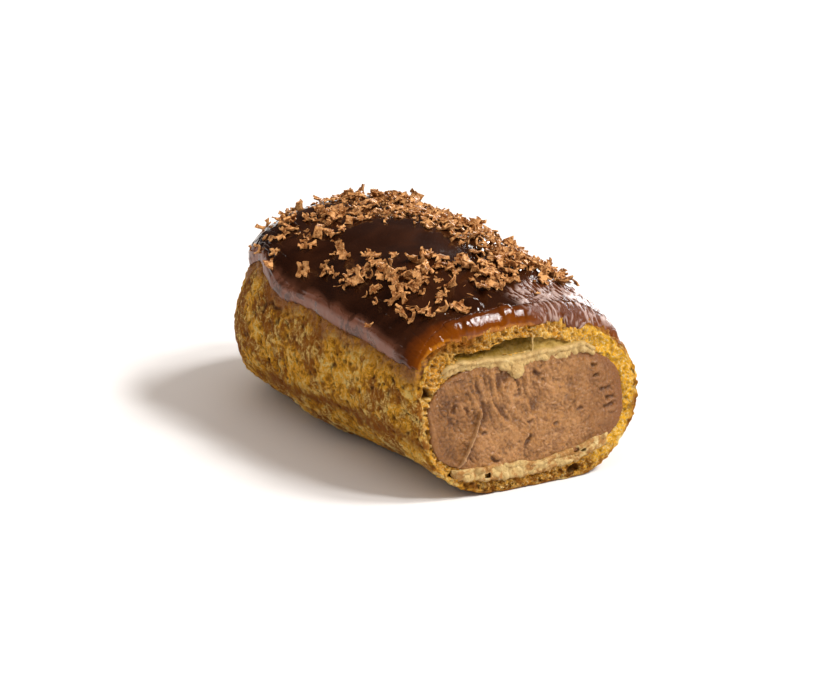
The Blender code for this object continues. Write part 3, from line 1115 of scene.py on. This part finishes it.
# The wrinkled patch: its middle across and behind the cut, then its half width and half length.
WRINKLED = (0.0115, 0.0052, 0.0115, 0.0050)
SETBACK = 0.0014  # how far behind the cut the icing of the solid stops
# How far the icing ran over the crust's edge: across, and drop below the outside, in millimetres.
ICING_FRONT = (
    (-21, 0.2), (-18, 0.6), (-16.4, 0.8), (-14.4, 1.3), (-12.3, 1.9), (-9, 2.1), (-6, 1.8), (-2, 1.6),
    (2, 2.1), (5.3, 1.6), (8.5, 1.7), (9.9, 2.9), (11.7, 2.6), (14, 1.3), (17, 1.1), (20, 1.1),
    (22, 0.6),
)
# Lobes where the icing stopped just behind the cut: across, behind, radius and height, in millimetres.
LOBES = (
    (-7.1, 5.4, 1.9, 0.60), (-13.6, 4.2, 2.1, 0.35), (-2.4, 3.3, 1.5, 0.45), (2.0, 2.2, 1.5, 0.55),
    (6.2, 2.0, 1.3, 0.55), (9.4, 2.9, 1.3, 0.45), (13.0, 2.2, 1.5, 0.40), (-10.6, 2.4, 1.2, 0.35),
)

CLOUD_ICING = (0.036, 0.0100, 0.0032)
# Along its rim the icing is a thin, paler film, lightened further as a painted reflection of the floor.
RIM_FILM_AND_SHEEN = (0.200, 0.072, 0.038)  # the film along its rim
THINNING = (0.085, 0.0185, 0.0025)
THINNER = (0.118, 0.026, 0.0016)
THINNEST = (0.36, 0.120, 0.007)  # the last of it, with the crust shining through
WRINKLED_ICING = (0.135, 0.034, 0.009)
# Pale on the crests of the wrinkles: a painted highlight.
WRINKLE_CREST_HIGHLIGHT = (0.50, 0.36, 0.31)
FLECK_ICING = (0.15, 0.040, 0.008)


def icing_material(sizes):
    """Dark icing, amber where it thins out, with a pale film and a painted reflection on its rim and painted
    highlights on its wrinkle crests.
    """
    made, tree, shader, place = new_material("dark_chocolate_icing", 0.2, 0.35)
    grain = partial(noise_in, tree, place)
    thin, wrinkled = painted(tree, "thin"), painted(tree, "wrinkled")
    film = product(tree, painted(tree, "edge"), (grain(3.4 * MM, 4.0, 0.6, 0.8), 0.36, 0.52, 0.30, 1.0))
    colour = layered(
        tree, tuple(sizes.dark),
        (CLOUD_ICING, (grain(7 * MM, 3.0, 0.5, 0.5), 0.35, 0.7)),
        # thin film on the rim, with a painted reflection
        (RIM_FILM_AND_SHEEN, film),
        (THINNING, (thin, 0.05, 0.45)),
        (THINNER, (thin, 0.40, 0.80)),
        (tuple(sizes.amber), (thin, 0.70, 0.93)),
        (THINNEST, (thin, 0.95, 1.0)),
        (WRINKLED_ICING, wrinkled, 0.6),
        (WRINKLE_CREST_HIGHLIGHT, wrinkled, (painted(tree, "fold"), 0.0, 0.36, 0.0, 0.75)),
        (FLECK_ICING, (grain(1.2 * MM, 4.0, 0.6), 0.52, 0.70, 0.0, 0.6), (thin, 0.3, 0.8)),
    )
    gloss = spread(tree, grain(4 * MM, 4.0, 0.6), 0.3, 0.7, 0.11, 0.17)
    gloss = maths(tree, "SUBTRACT", gloss, product(tree, thin, 0.06))
    gloss = maths(tree, "ADD", gloss, product(tree, film, 0.22))
    uneven = maths(tree, "MAXIMUM", wrinkled, spread(tree, thin, 0.1, 0.9, 0.0, 0.2))
    height = product(tree, grain(0.45 * MM, 4.0, 0.7, 1.0), uneven)
    ripple = bump(tree, grain(5 * MM, 2.0, 0.5), 0.25 * MM, 0.25)
    join_up(tree, shader, colour, gloss, bump(tree, height, 0.22 * MM, 0.8, ripple))
    return made


def lobes_on(points, behind):
    """Height of the rounded lobes of the icing's front, each flattened on top."""
    height = np.zeros(len(points))
    for across, back, radius, high in LOBES:
        off = np.hypot(points[:, 0] - across * MM, behind - back * MM) / (radius * MM)
        height += high * MM * fade(off + 0.12 * waves(points, 1.5 * MM, across), 0.45, 1.0)
    return height


def wrinkled_at(points, behind):
    """1 in the wrinkled patch, with a wavering edge."""
    middle, back, half_width, half_length = WRINKLED
    off = np.hypot((points[:, 0] - middle) / half_width, (behind - back) / half_length)
    return fade(off + 0.22 * waves(points, 4 * MM, 12.0) + 0.10 * waves(points, 1.5 * MM, 4.5), 0.62, 1.08)


def wrinkles_on(points):
    """Crumpled folds, sharp on their crests."""
    x, y, _ = points.T
    across, along = 0.94 * x + 0.35 * y, 0.35 * x - 0.94 * y
    turned = on_sheet(across + 1.2 * MM * waves(points, 4.0 * MM, 5.0), along / 2.4)
    turned[:, 1] += 0.5 * MM * waves(points, 3.0 * MM, 8.0)
    folds = 0.8 * (0.3 - puffs(turned, 0.85 * MM, 3.3)) + 0.45 * waves(points, 2.4 * MM, 2.2)
    return folds + 0.7 * (0.3 - puffs(turned, 0.45 * MM, 9.6)) + 0.35 * waves(turned, 0.30 * MM, 6.1)


def front_of(points, radius):
    """How far behind the cut the icing stops. Below zero it has run over the edge and down the cut."""
    across_at, drop_at = columns_of(ICING_FRONT)
    drop = np.interp(points[:, 0], across_at, drop_at)
    drop += 0.45 * MM * waves(points, 4.5 * MM, 6.5)
    turn = np.arccos(np.clip(1 - drop / radius, 0, 1))
    return radius * (1 - turn) - np.clip(drop - radius, 0, None)


def nearest_on(solid, place):
    """The nearest point of a surface, and the way that the surface faces there."""
    return (np.array(found) for found in solid.find_nearest(place.tolist())[:2])


def clear_of_cut(behind):
    """0 at the cut, where the icing's rim is drawn by its front, and 1 further back."""
    return rise(behind, 3 * MM, 9 * MM)


def laid(points, solid, behind, from_edge):
    """Points of the icing, drawn up its sides, out over the crust's rounded edge, and thinned at its rim."""
    thin = 1 - 0.85 * clear_of_cut(behind) * (1 - np.sqrt(np.clip(from_edge / (3.2 * MM), 0, 1)))
    lifted = drawn_up(points) * fade(from_edge, 0.0, 12 * MM)
    radius = edge_radius(points)
    front = front_of(points, radius)
    station = behind - (SETBACK - front) * fade(behind, SETBACK, 9 * MM)
    reach = station - front + 0.35 * MM * waves(points, 2.4 * MM, 3.5)
    reach += 0.18 * MM * waves(points, 0.6 * MM, 5.5)
    turn = np.clip((radius - station) / radius, 0, math.pi / 2)
    back = np.where(station < radius, radius * (1 - np.sin(turn)), station)
    deep = radius * (1 - np.cos(turn)) + np.clip(radius * (1 - math.pi / 2) - station, 0, None)
    grown = np.sqrt(np.clip(reach / (2.4 * MM), 0, 1))
    normal = np.array(CUT_NORMAL)
    moved = points.copy()
    for index in np.nonzero((behind < 9 * MM) | (from_edge < 12 * MM))[0].tolist():
        place, aim = nearest_on(solid, points[index])
        high = (points[index] - place) @ aim
        upward = np.array([0, 0, 1]) - aim[2] * aim
        upward *= lifted[index] / max(np.linalg.norm(upward), 0.2)
        forward = max(behind_cut(place) - max(back[index], 0.05 * MM), 0)
        spot, aim = nearest_on(solid, place + upward + normal * forward)
        if turn[index] > 0:
            aim = aim - (aim @ normal) * normal
            aim /= max(np.linalg.norm(aim), 1e-6)
        lean = aim * math.cos(turn[index]) + normal * math.sin(turn[index])
        sunk = 0.35 * MM * max(1 - grown[index], float(fade(high, 0.10 * MM, 0.40 * MM)))
        moved[index] = spot - aim * deep[index] + lean * (high * grown[index] * thin[index] - sunk)
    return moved, reach


def facing_of(tree, points, normals):
    """How far each point faces away from the surface nearest to it: 1 straight away, 0 sideways."""
    found = [tree.find_nearest(place)[1] for place in points.tolist()]
    return (np.array(found) * normals).sum(axis=1)


def icing_blank(sizes, crust):
    """The icing's smooth mesh, coarse underneath and fine near the cut."""
    icing = blank_of("chocolate_icing", "icing_glaze", sizes.facet)
    points, normals = read_points(icing), read_normals(icing)
    under = np.zeros(len(points), bool)
    for index, (place, aim) in enumerate(zip(points.tolist(), normals.tolist())):
        under[index] = crust.ray_cast(place, aim, 0.8 * MM)[0] is not None
    thin_out(icing, under, share=0.10)
    modify(icing, "SMOOTH", factor=0.5, iterations=10)
    points = read_points(icing)
    behind = behind_cut(points)
    near = (behind < 6 * MM) | ((behind < 10.5 * MM) & (points[:, 0] > -2 * MM))
    refine(icing, near & (distance_to(crust, points, 4 * MM) > 0.45 * MM))
    return icing


def sag(points, rim):
    """Lets the rim hang unevenly."""
    upright = points * np.array([1, 1, 0.2])
    drip = rim * (0.7 * MM * waves(upright, 4.5 * MM, 12.0) + 0.4 * MM * waves(upright, 2.0 * MM, 4.0))
    outward = np.stack([points[:, 0], np.maximum(points[:, 1] - FAR_MIDDLE, 0), points[:, 2] * 0], axis=-1)
    outward /= np.maximum(np.linalg.norm(outward, axis=1), 1e-6)[:, None]
    points[:, 2] -= np.abs(drip) * 1.3
    points += outward * (0.15 * drip)[:, None]


def shape_icing(sizes):
    """The icing, with its lobes and wrinkles, laid over the crust as far as its front."""
    crust = tree_of(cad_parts["choux_shell"])
    icing = icing_blank(sizes, crust)
    points, normals = read_points(icing), read_normals(icing)
    behind = behind_cut(points)
    above = distance_to(crust, points, 4 * MM)
    outer = rise(above, 0.5 * MM, 0.9 * MM)
    aside = np.abs(facing_of(crust, points, normals)) < 0.45
    edge = points[aside & (above > 0.35 * MM) & (above < 1.1 * MM) & (behind > 3.5 * MM)]
    from_edge = distance_to_cloud(edge, points)
    away = clear_of_cut(behind)
    roll = bell(from_edge - 1.7 * MM, 1.2 * MM) * away
    swells = sizes.swell * (waves(points, 8 * MM, 1.5) + 0.6 * waves(points, 4 * MM, 7.5))
    lift = outer * (swells + sizes.rim * roll * (1 + 0.8 * waves(points, 6 * MM, 2.2)))
    wrinkled = wrinkled_at(points, behind)
    folds = wrinkles_on(points)
    lift += outer * (wrinkled * sizes.wrinkle * folds + (1 - 0.5 * wrinkled) * lobes_on(points, behind))
    points += normals * lift[:, None]
    sag(points, outer * fade(from_edge, 0.0, 2.4 * MM) * away)
    points, reach = laid(points, crust, behind, from_edge)
    move_points(icing, points)

    thin = fade(reach + 0.5 * MM * waves(points, 2.5 * MM, 14.0), 0.3 * MM, 4.4 * MM)
    paint(
        icing,
        thin=thin * (1 - 0.30 * wrinkled),
        wrinkled=wrinkled,
        fold=folds,
        edge=fade(from_edge + 1.5 * MM * waves(points, 4 * MM, 9.0), 1.9 * MM, 4.2 * MM) * away,
    )
    icing.data.shade_smooth()
    return icing


class ECLAIR_OT_icing(bpy.types.Operator):
    """Pour the dark icing, with its rolled rim and its wrinkles near the cut"""

    bl_idname = "eclair.icing"
    bl_label = "Icing"

    def execute(self, context):
        sizes = context.scene.eclair_icing
        dress(shape_icing(sizes), icing_material(sizes), "icing", "chocolate_icing")
        return {"FINISHED"}


# ---------------------------------------------------------------- shavings


class ShavingSizes(bpy.types.PropertyGroup):
    flakes: IntProperty(name="Flakes", description="How many ragged flakes", default=225, min=1)
    curls: IntProperty(name="Curls", description="How many curls", default=170, min=1)
    chips: IntProperty(name="Chips", description="How many branched chips", default=150, min=1)
    crumbs: IntProperty(name="Crumbs", description="How many crumbs", default=200, min=1)
    length: length_setting("Length", "Length of an average flake", 2.15)
    thick: length_setting("Thickness", "Thickness of a shaving", 0.23)
    colour: colour_setting("Shavings", "Colour of the milk chocolate", (0.66, 0.325, 0.115))


# Where the shavings fell: middle across and along, spread across and along, in millimetres, and share.
HEAPS = (
    (7, 14, 4.5, 8, 2.8), (9.5, -3, 3.2, 6, 2.6), (9, -19, 3.5, 5, 2.0), (13, -22, 2.5, 4, 0.8),
    (-6, 17, 5, 3, 1.2), (-2, 10, 3, 3, 0.6), (-8, -21, 6, 4, 1.5), (2, -24, 4, 4, 1.0),
    (-14, -6, 1.5, 7, 0.50), (1, 2, 3, 5, 0.4), (-17.5, -12, 1.5, 9, 0.45), (5, -3, 2, 5, 0.7),
    (-10, 12, 4, 6, 0.70), (-17, 17, 3, 8, 0.40), (-2, 30, 9, 5, 1.5), (-15, -22, 3, 5, 0.60),
    (3, 24, 6, 4, 1.0), (15, 8, 3, 12, 0.8), (6, 11, 2, 5, 0.7),
)
BARE = (-6.5, -2.0, 6.0, 10.0)  # the middle and half sizes of the patch that stayed almost bare
BARE_SHARE = 0.15  # of the shavings that would have landed there
ABOVE_ALL = 0.08  # shavings fall from this height
VARIANTS = 10  # shapes of each kind
STANDING_SHARE = 0.15  # of the shavings stand on edge
SUNK = 0.15 * MM  # how deep a shaving lies in the icing
PROUD_OF_BOX = 0.027  # how far a shaving may stand above the solids, as a share of their height
CORNERS = ((1, 1), (1, -1), (-1, 1), (-1, -1))

SHAVING_DARK = (0.200, 0.060, 0.010)
SHAVING_TONE = (0.260, 0.088, 0.017)
SHAVING_SPECK = (0.82, 0.52, 0.25)


def shaving_material(sizes):
    """Milk chocolate, mottled and dull."""
    made, tree, shader, place = new_material("milk_chocolate_shavings", 0.55, 0.10)
    grain = partial(noise_in, tree, place)
    mottle = grain(0.9 * MM, 4.0, 0.65)
    speck = grain(0.25 * MM, 3.0, 0.7)
    colour = layered(
        tree, SHAVING_DARK,
        (tuple(sizes.colour), (mottle, 0.40, 0.60)),
        (SHAVING_TONE, (grain(3.5 * MM, 2.0, 0.5), 0.50, 0.66, 0.0, 0.6)),
        (SHAVING_SPECK, (speck, 0.52, 0.68, 0.0, 0.7)),
    )
    gloss = spread(tree, mottle, 0.3, 0.7, 0.65, 0.42)
    join_up(tree, shader, colour, gloss, bump(tree, speck, 0.08 * MM, 0.8))
    return made


def meets_by_corner(cells, column, row):
    """Whether this cell would touch another one by a corner alone."""
    for x, y in CORNERS:
        beside = (column + x, row) in cells or (column, row + y) in cells
        if (column + x, row + y) in cells and not beside:
            return True
    return False


def grow_cells(count, columns, rows, dice):
    """Cells of a grid, grown one by one from its middle. No two touch by a corner alone."""
    cells = {(columns // 2, rows // 2)}
    steps = ((1, 0), (-1, 0), (0, 1), (0, -1))
    while len(cells) < count:
        column, row = dice.choice(sorted(cells))
        across, up = dice.choice(steps)
        column, row = column + across, row + up
        if (column, row) in cells or not (0 <= column < columns and 0 <= row < rows):
            continue
        meets = meets_by_corner(cells, column, row)
        if meets and dice.random() < 0.97:
            continue
        if not meets:
            cells.add((column, row))
        elif len(cells) > 3:
            break
    return cells


def torn_sheet(name, count, columns, rows, dice):
    """A flat sheet from -1 to 1 each way, torn to a ragged, branching outline with drawn-out tips."""
    bpy.ops.mesh.primitive_grid_add(x_subdivisions=columns, y_subdivisions=rows, size=2)
    piece = name_new(name)
    cells = grow_cells(count, columns, rows, dice)
    gone = []
    for face in piece.data.polygons:
        column = int((face.center.x + 1) / 2 * columns)
        row = int((face.center.y + 1) / 2 * rows)
        gone.append((column, row) not in cells)
    delete_faces(piece, np.array(gone))
    points = read_points(piece)
    faces_at = np.zeros(len(points))
    centre = np.zeros((len(points), 3))
    for face in piece.data.polygons:
        for vertex in face.vertices:
            faces_at[vertex] += 1
            centre[vertex] = face.center
    tips = faces_at == 1
    pull = np.array([dice.uniform(0.0, 0.9) for _ in points])
    points[tips] += (points[tips] - centre[tips]) * pull[tips][:, None]
    cell = np.array([2 / columns, 2 / rows, 0])
    points += np.array([[dice.uniform(-0.2, 0.2) for _ in range(3)] for _ in points]) * cell
    return piece, points


def bend_and_twist(points, bend, twist):
    """Rolls a sheet up along X by the angle bend, and twists it about X by twist over its length."""
    x, y, z = points.T
    half = max(1e-9, np.abs(x).max())
    angle = twist * (x / half)
    y, z = y * np.cos(angle) - z * np.sin(angle), y * np.sin(angle) + z * np.cos(angle)
    if abs(bend) < 0.05:
        return np.stack([x, y, z], axis=-1)
    radius = 2 * half / bend
    turn = x / radius
    return np.stack([(radius - z) * np.sin(turn), y, radius - (radius - z) * np.cos(turn)], axis=-1)


def finish_shaving(piece, points, thick):
    """Gives a sheet its points and its thickness."""
    move_points(piece, points)
    modify(piece, "SOLIDIFY", thickness=thick, offset=0.0)
    only(piece)
    bpy.ops.object.shade_smooth_by_angle(angle=math.radians(40))
    return piece


def crumpled(points, length, width, rough, dice):
    """A sheet at its size, with each point a little up or down."""
    points = points * np.array([length / 2, width / 2, 0])
    points[:, 2] += np.array([dice.uniform(-rough, rough) for _ in points])
    return points


def ragged_flake(name, sizes, dice):
    """A torn flake, broad and curled."""
    piece, sheet = torn_sheet(name, dice.randint(9, 13), columns=6, rows=4, dice=dice)
    length = sizes.length * dice.uniform(1.1, 1.5)
    points = crumpled(sheet, length, length * dice.uniform(0.65, 0.9), 0.16 * MM, dice)
    points = bend_and_twist(points, dice.uniform(0.6, 2.6) * dice.choice((-1, 1)), dice.uniform(-0.9, 0.9))
    return finish_shaving(piece, points, sizes.thick * dice.uniform(0.8, 1.3))


def rolled_curl(name, sizes, dice):
    """A narrow strip that rolled up as it was shaved off."""
    piece, sheet = torn_sheet(name, dice.randint(8, 11), columns=9, rows=2, dice=dice)
    length = sizes.length * dice.uniform(1.2, 1.8)
    points = crumpled(sheet, length, length * dice.uniform(0.20, 0.34), 0.08 * MM, dice)
    points[:, 1] += 0.12 * length * (points[:, 0] / length * 2) ** 2 * dice.uniform(-1, 1)
    points = bend_and_twist(points, dice.uniform(1.8, 4.8), dice.uniform(-1.2, 1.2))
    return finish_shaving(piece, points, sizes.thick * dice.uniform(0.8, 1.2))


def branched_chip(name, sizes, dice):
    """A smaller chip with arms, twisted."""
    piece, sheet = torn_sheet(name, dice.randint(6, 9), columns=5, rows=5, dice=dice)
    length = sizes.length * dice.uniform(0.85, 1.2)
    points = crumpled(sheet, length, length * dice.uniform(0.8, 1.0), 0.18 * MM, dice)
    points = bend_and_twist(points, dice.uniform(0.5, 2.8) * dice.choice((-1, 1)), dice.uniform(-1.0, 1.0))
    return finish_shaving(piece, points, sizes.thick * dice.uniform(0.9, 1.4))


def small_crumb(name, sizes, dice):
    """A splinter or a broken bit."""
    bpy.ops.mesh.primitive_ico_sphere_add(subdivisions=1, radius=1)
    piece = name_new(name)
    points = read_points(piece)
    points *= np.array([dice.uniform(0.6, 1.4) for _ in points])[:, None]
    slim = dice.random() < 0.4
    length = sizes.length * (dice.uniform(0.28, 0.50) if slim else dice.uniform(0.10, 0.20))
    thin = sizes.length * (dice.uniform(0.04, 0.07) if slim else dice.uniform(0.07, 0.13))
    points *= np.array([length, thin, thin * 0.8])
    move_points(piece, bend_and_twist(points, dice.uniform(-0.9, 0.9), 0.0))
    return piece


def landing(dice, ground):
    """A place on the icing for one shaving, and the way the icing faces there."""
    while True:
        across, along, wide, long, _ = dice.choices(HEAPS, [heap[4] for heap in HEAPS])[0]
        across, along = dice.gauss(across, wide), dice.gauss(along, long)
        off = math.hypot((across - BARE[0]) / BARE[2], (along - BARE[1]) / BARE[3])
        if off < 1 and dice.random() > BARE_SHARE:
            continue
        spot, facing, _, _ = ground.ray_cast(Vector((across * MM, along * MM, ABOVE_ALL)), (0, 0, -1))
        if spot is not None and facing.z > 0.25 and behind_cut(np.array([spot]))[0] > 2.5 * MM:
            return spot, facing


def dropped(shape, spot, facing, tilt, dice):
    """A copy of a shaving's mesh, turned, tipped and laid down at this spot."""
    turn = Matrix.Rotation(dice.uniform(0, 2 * math.pi), 4, "Z")
    lean = dice.gauss(0, tilt) if dice.random() > STANDING_SHARE else dice.uniform(0.9, 1.5)
    tip = Matrix.Rotation(lean, 4, "X")
    face = facing.to_track_quat("Z", "Y").to_matrix().to_4x4()
    scale = Matrix.Scale(dice.uniform(0.6, 1.4), 4)
    lowest = min((turn @ tip @ scale @ vertex.co).z for vertex in shape.data.vertices)
    lift = Matrix.Translation((0, 0, -lowest - SUNK))
    mesh = shape.data.copy()
    mesh.transform(Matrix.Translation(spot) @ face @ lift @ turn @ tip @ scale)
    return mesh


def scatter(name, make, count, sizes, seed, tilt):
    """Makes a few shapes of one kind, drops copies of them on the icing and joins them."""
    dice = random.Random(seed)
    shapes = [make(f"{name}_{index}", sizes, dice) for index in range(VARIANTS)]
    ground = tree_of(bpy.data.objects["icing_glaze"])
    highest = CAD_BOX[1][2] * (1 + PROUD_OF_BOX)
    copies = []
    while len(copies) < count:
        spot, facing = landing(dice, ground)
        mesh = dropped(dice.choice(shapes), spot, facing, tilt, dice)
        if max(vertex.co.z for vertex in mesh.vertices) > highest:
            bpy.data.meshes.remove(mesh)
            continue
        made = bpy.data.objects.new(f"{name}_copy", mesh)
        bpy.context.scene.collection.objects.link(made)
        copies.append(made)
    for shape in shapes:
        bpy.data.objects.remove(shape)
    only(copies[0])
    for made in copies:
        made.select_set(True)
    bpy.ops.object.join()
    return name_new(name)


class ECLAIR_OT_shavings(bpy.types.Operator):
    """Scatter the milk chocolate shavings over the icing"""

    bl_idname = "eclair.shavings"
    bl_label = "Shavings"

    def execute(self, context):
        sizes = context.scene.eclair_shavings
        finish = shaving_material(sizes)
        # Name, how one is made, how many, seed, and how far they usually tilt.
        kinds = (
            ("shaving_flakes", ragged_flake, sizes.flakes, 11, 0.35),
            ("shaving_curls", rolled_curl, sizes.curls, 23, 0.45),
            ("shaving_chips", branched_chip, sizes.chips, 37, 0.35),
            ("shaving_crumbs", small_crumb, sizes.crumbs, 41, 0.30),
        )
        for name, make, count, seed, tilt in kinds:
            dress(scatter(name, make, count, sizes, seed, tilt), finish, "shavings")
        return {"FINISHED"}


# ---------------------------------------------------------------- stage


class StageSizes(bpy.types.PropertyGroup):
    azimuth: FloatProperty(name="Azimuth", description="Camera's place round the eclair",
                           subtype="ANGLE", default=math.radians(-32.7))
    elevation: FloatProperty(name="Elevation", description="Camera's height as an angle",
                             subtype="ANGLE", default=math.radians(18.6))
    distance: FloatProperty(name="Distance", description="Camera to the point it looks at",
                            default=0.630, unit="LENGTH")
    lens: FloatProperty(name="Lens", description="Focal length in millimetres", default=149.7)
    light: FloatProperty(name="Light", description="Brightness of all the lamps, 1 as designed", default=1.0)


AIM = Vector((0.0031, 0.0016, 0.0122))  # the camera looks here
# Each lamp: name, strength, bearing from +X and height in degrees, softness in degrees, and colour.
LAMPS = (
    ("key_right", 2.15, -34, 51, 14, (1.0, 0.99, 0.985)),
    ("key_front", 1.66, -58, 46, 11, (1.0, 0.99, 0.985)),
    ("overhead", 1.92, 0, 89, 150, (1.0, 0.89, 0.81)),
    ("back_right", 2.7, 38, 12, 25, (1.0, 1.0, 1.0)),
)
FLOOR_SIZE = 6.0
FLOOR_TONES = ((0.80, 0.795, 0.79), (0.81, 0.805, 0.80))
WALL_GLOW = (0.66, 0.60, 0.54)  # the studio's near walls, just above the floor
ROOM_DIM = (0.050, 0.046, 0.042)  # the rest of the studio


def direction(bearing, height):
    """The way towards this bearing, from +X, and this height, both as angles."""
    level = math.cos(height)
    return Vector((math.cos(bearing) * level, math.sin(bearing) * level, math.sin(height)))


def add_lamps(brightness):
    """The lamps. The overhead one leaves no highlights, and the one at the back right gives nothing else."""
    for name, strength, bearing, height, softness, colour in LAMPS:
        aim = direction(math.radians(bearing), math.radians(height))
        bpy.ops.object.light_add(type="SUN", location=AIM + aim)
        lamp = bpy.context.active_object
        lamp.name = name
        lamp.data.energy = strength * brightness
        lamp.data.angle = math.radians(softness)
        lamp.data.color = colour
        lamp.rotation_euler = aim.to_track_quat("Z", "Y").to_euler()
        lamp.visible_glossy = name != "overhead"
        lamp.visible_diffuse = name != "back_right"


def add_floor():
    """A pale floor, wide enough to fill the view."""
    bpy.ops.mesh.primitive_plane_add(size=FLOOR_SIZE, location=(0, 0, 0))
    floor = name_new("floor")
    made, tree, shader, place = new_material("pale_floor", 0.9, 0.1)
    join_up(tree, shader, blend_colours(tree, noise_in(tree, place, 0.05, 2.0, 0.5), *FLOOR_TONES))
    floor.data.materials.append(made)


def add_studio():
    """A dim room whose near walls glow just above the floor."""
    world = bpy.data.worlds.new("studio")
    bpy.context.scene.world = world
    world.use_nodes = True
    tree = world.node_tree
    sky = tree.nodes["Background"]
    sides = sides_of(tree, tree.nodes.new("ShaderNodeTexCoord").outputs["Generated"])
    glow = product(tree, (sides["Z"], 0.24, 0.02), (sides["Y"], 0.35, -0.25))
    tree.links.new(blend_colours(tree, glow, ROOM_DIM, WALL_GLOW), sky.inputs["Color"])
    sky.inputs["Strength"].default_value = 1.0


def add_camera(stage):
    """The camera, turned towards AIM."""
    back = direction(stage.azimuth - math.pi / 2, stage.elevation)
    bpy.ops.object.camera_add(location=AIM + back * stage.distance)
    camera = bpy.context.active_object
    camera.rotation_euler = back.to_track_quat("Z", "Y").to_euler()
    camera.data.lens = stage.lens
    bpy.context.scene.camera = camera


class ECLAIR_OT_stage(bpy.types.Operator):
    """Set the pale floor, the soft lights and the camera"""

    bl_idname = "eclair.stage"
    bl_label = "Stage"

    def execute(self, context):
        stage = context.scene.eclair_stage
        bpy.ops.object.select_all(action="DESELECT")
        add_floor()
        add_studio()
        add_lamps(stage.light)
        add_camera(stage)
        context.scene.view_settings.view_transform = "Standard"
        return {"FINISHED"}


# ---------------------------------------------------------------- panel


PROPERTY_GROUPS = {
    "eclair_crust": CrustSizes,
    "eclair_cream": CreamSizes,
    "eclair_skins": SkinSizes,
    "eclair_icing": IcingSizes,
    "eclair_shavings": ShavingSizes,
    "eclair_stage": StageSizes,
}
OPERATORS = (
    ECLAIR_OT_crust,
    ECLAIR_OT_cream,
    ECLAIR_OT_skins,
    ECLAIR_OT_icing,
    ECLAIR_OT_shavings,
    ECLAIR_OT_stage,
)


class ECLAIR_PT_maker(bpy.types.Panel):
    """The steps that make the eclair, in order"""

    bl_label = "Half Chocolate Eclair"
    bl_idname = "ECLAIR_PT_maker"
    bl_space_type = "VIEW_3D"
    bl_region_type = "UI"
    bl_category = "Eclair"

    def draw(self, context):
        for name, step in zip(PROPERTY_GROUPS, OPERATORS):
            box = self.layout.box()
            box.operator(step.bl_idname)
            sizes = getattr(context.scene, name)
            for setting in PROPERTY_GROUPS[name].__annotations__:
                box.prop(sizes, setting)


def register():
    for made in (*PROPERTY_GROUPS.values(), *OPERATORS, ECLAIR_PT_maker):
        bpy.utils.register_class(made)
    for name, group in PROPERTY_GROUPS.items():
        setattr(bpy.types.Scene, name, PointerProperty(type=group))


def unregister():
    for name in PROPERTY_GROUPS:
        delattr(bpy.types.Scene, name)
    for made in (ECLAIR_PT_maker, *OPERATORS, *PROPERTY_GROUPS.values()):
        bpy.utils.unregister_class(made)


def main():
    """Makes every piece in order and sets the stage."""
    register()
    bpy.ops.eclair.crust()
    bpy.ops.eclair.cream()
    bpy.ops.eclair.skins()
    bpy.ops.eclair.icing()
    bpy.ops.eclair.shavings()
    bpy.ops.eclair.stage()


if __name__ == "__main__":
    main()
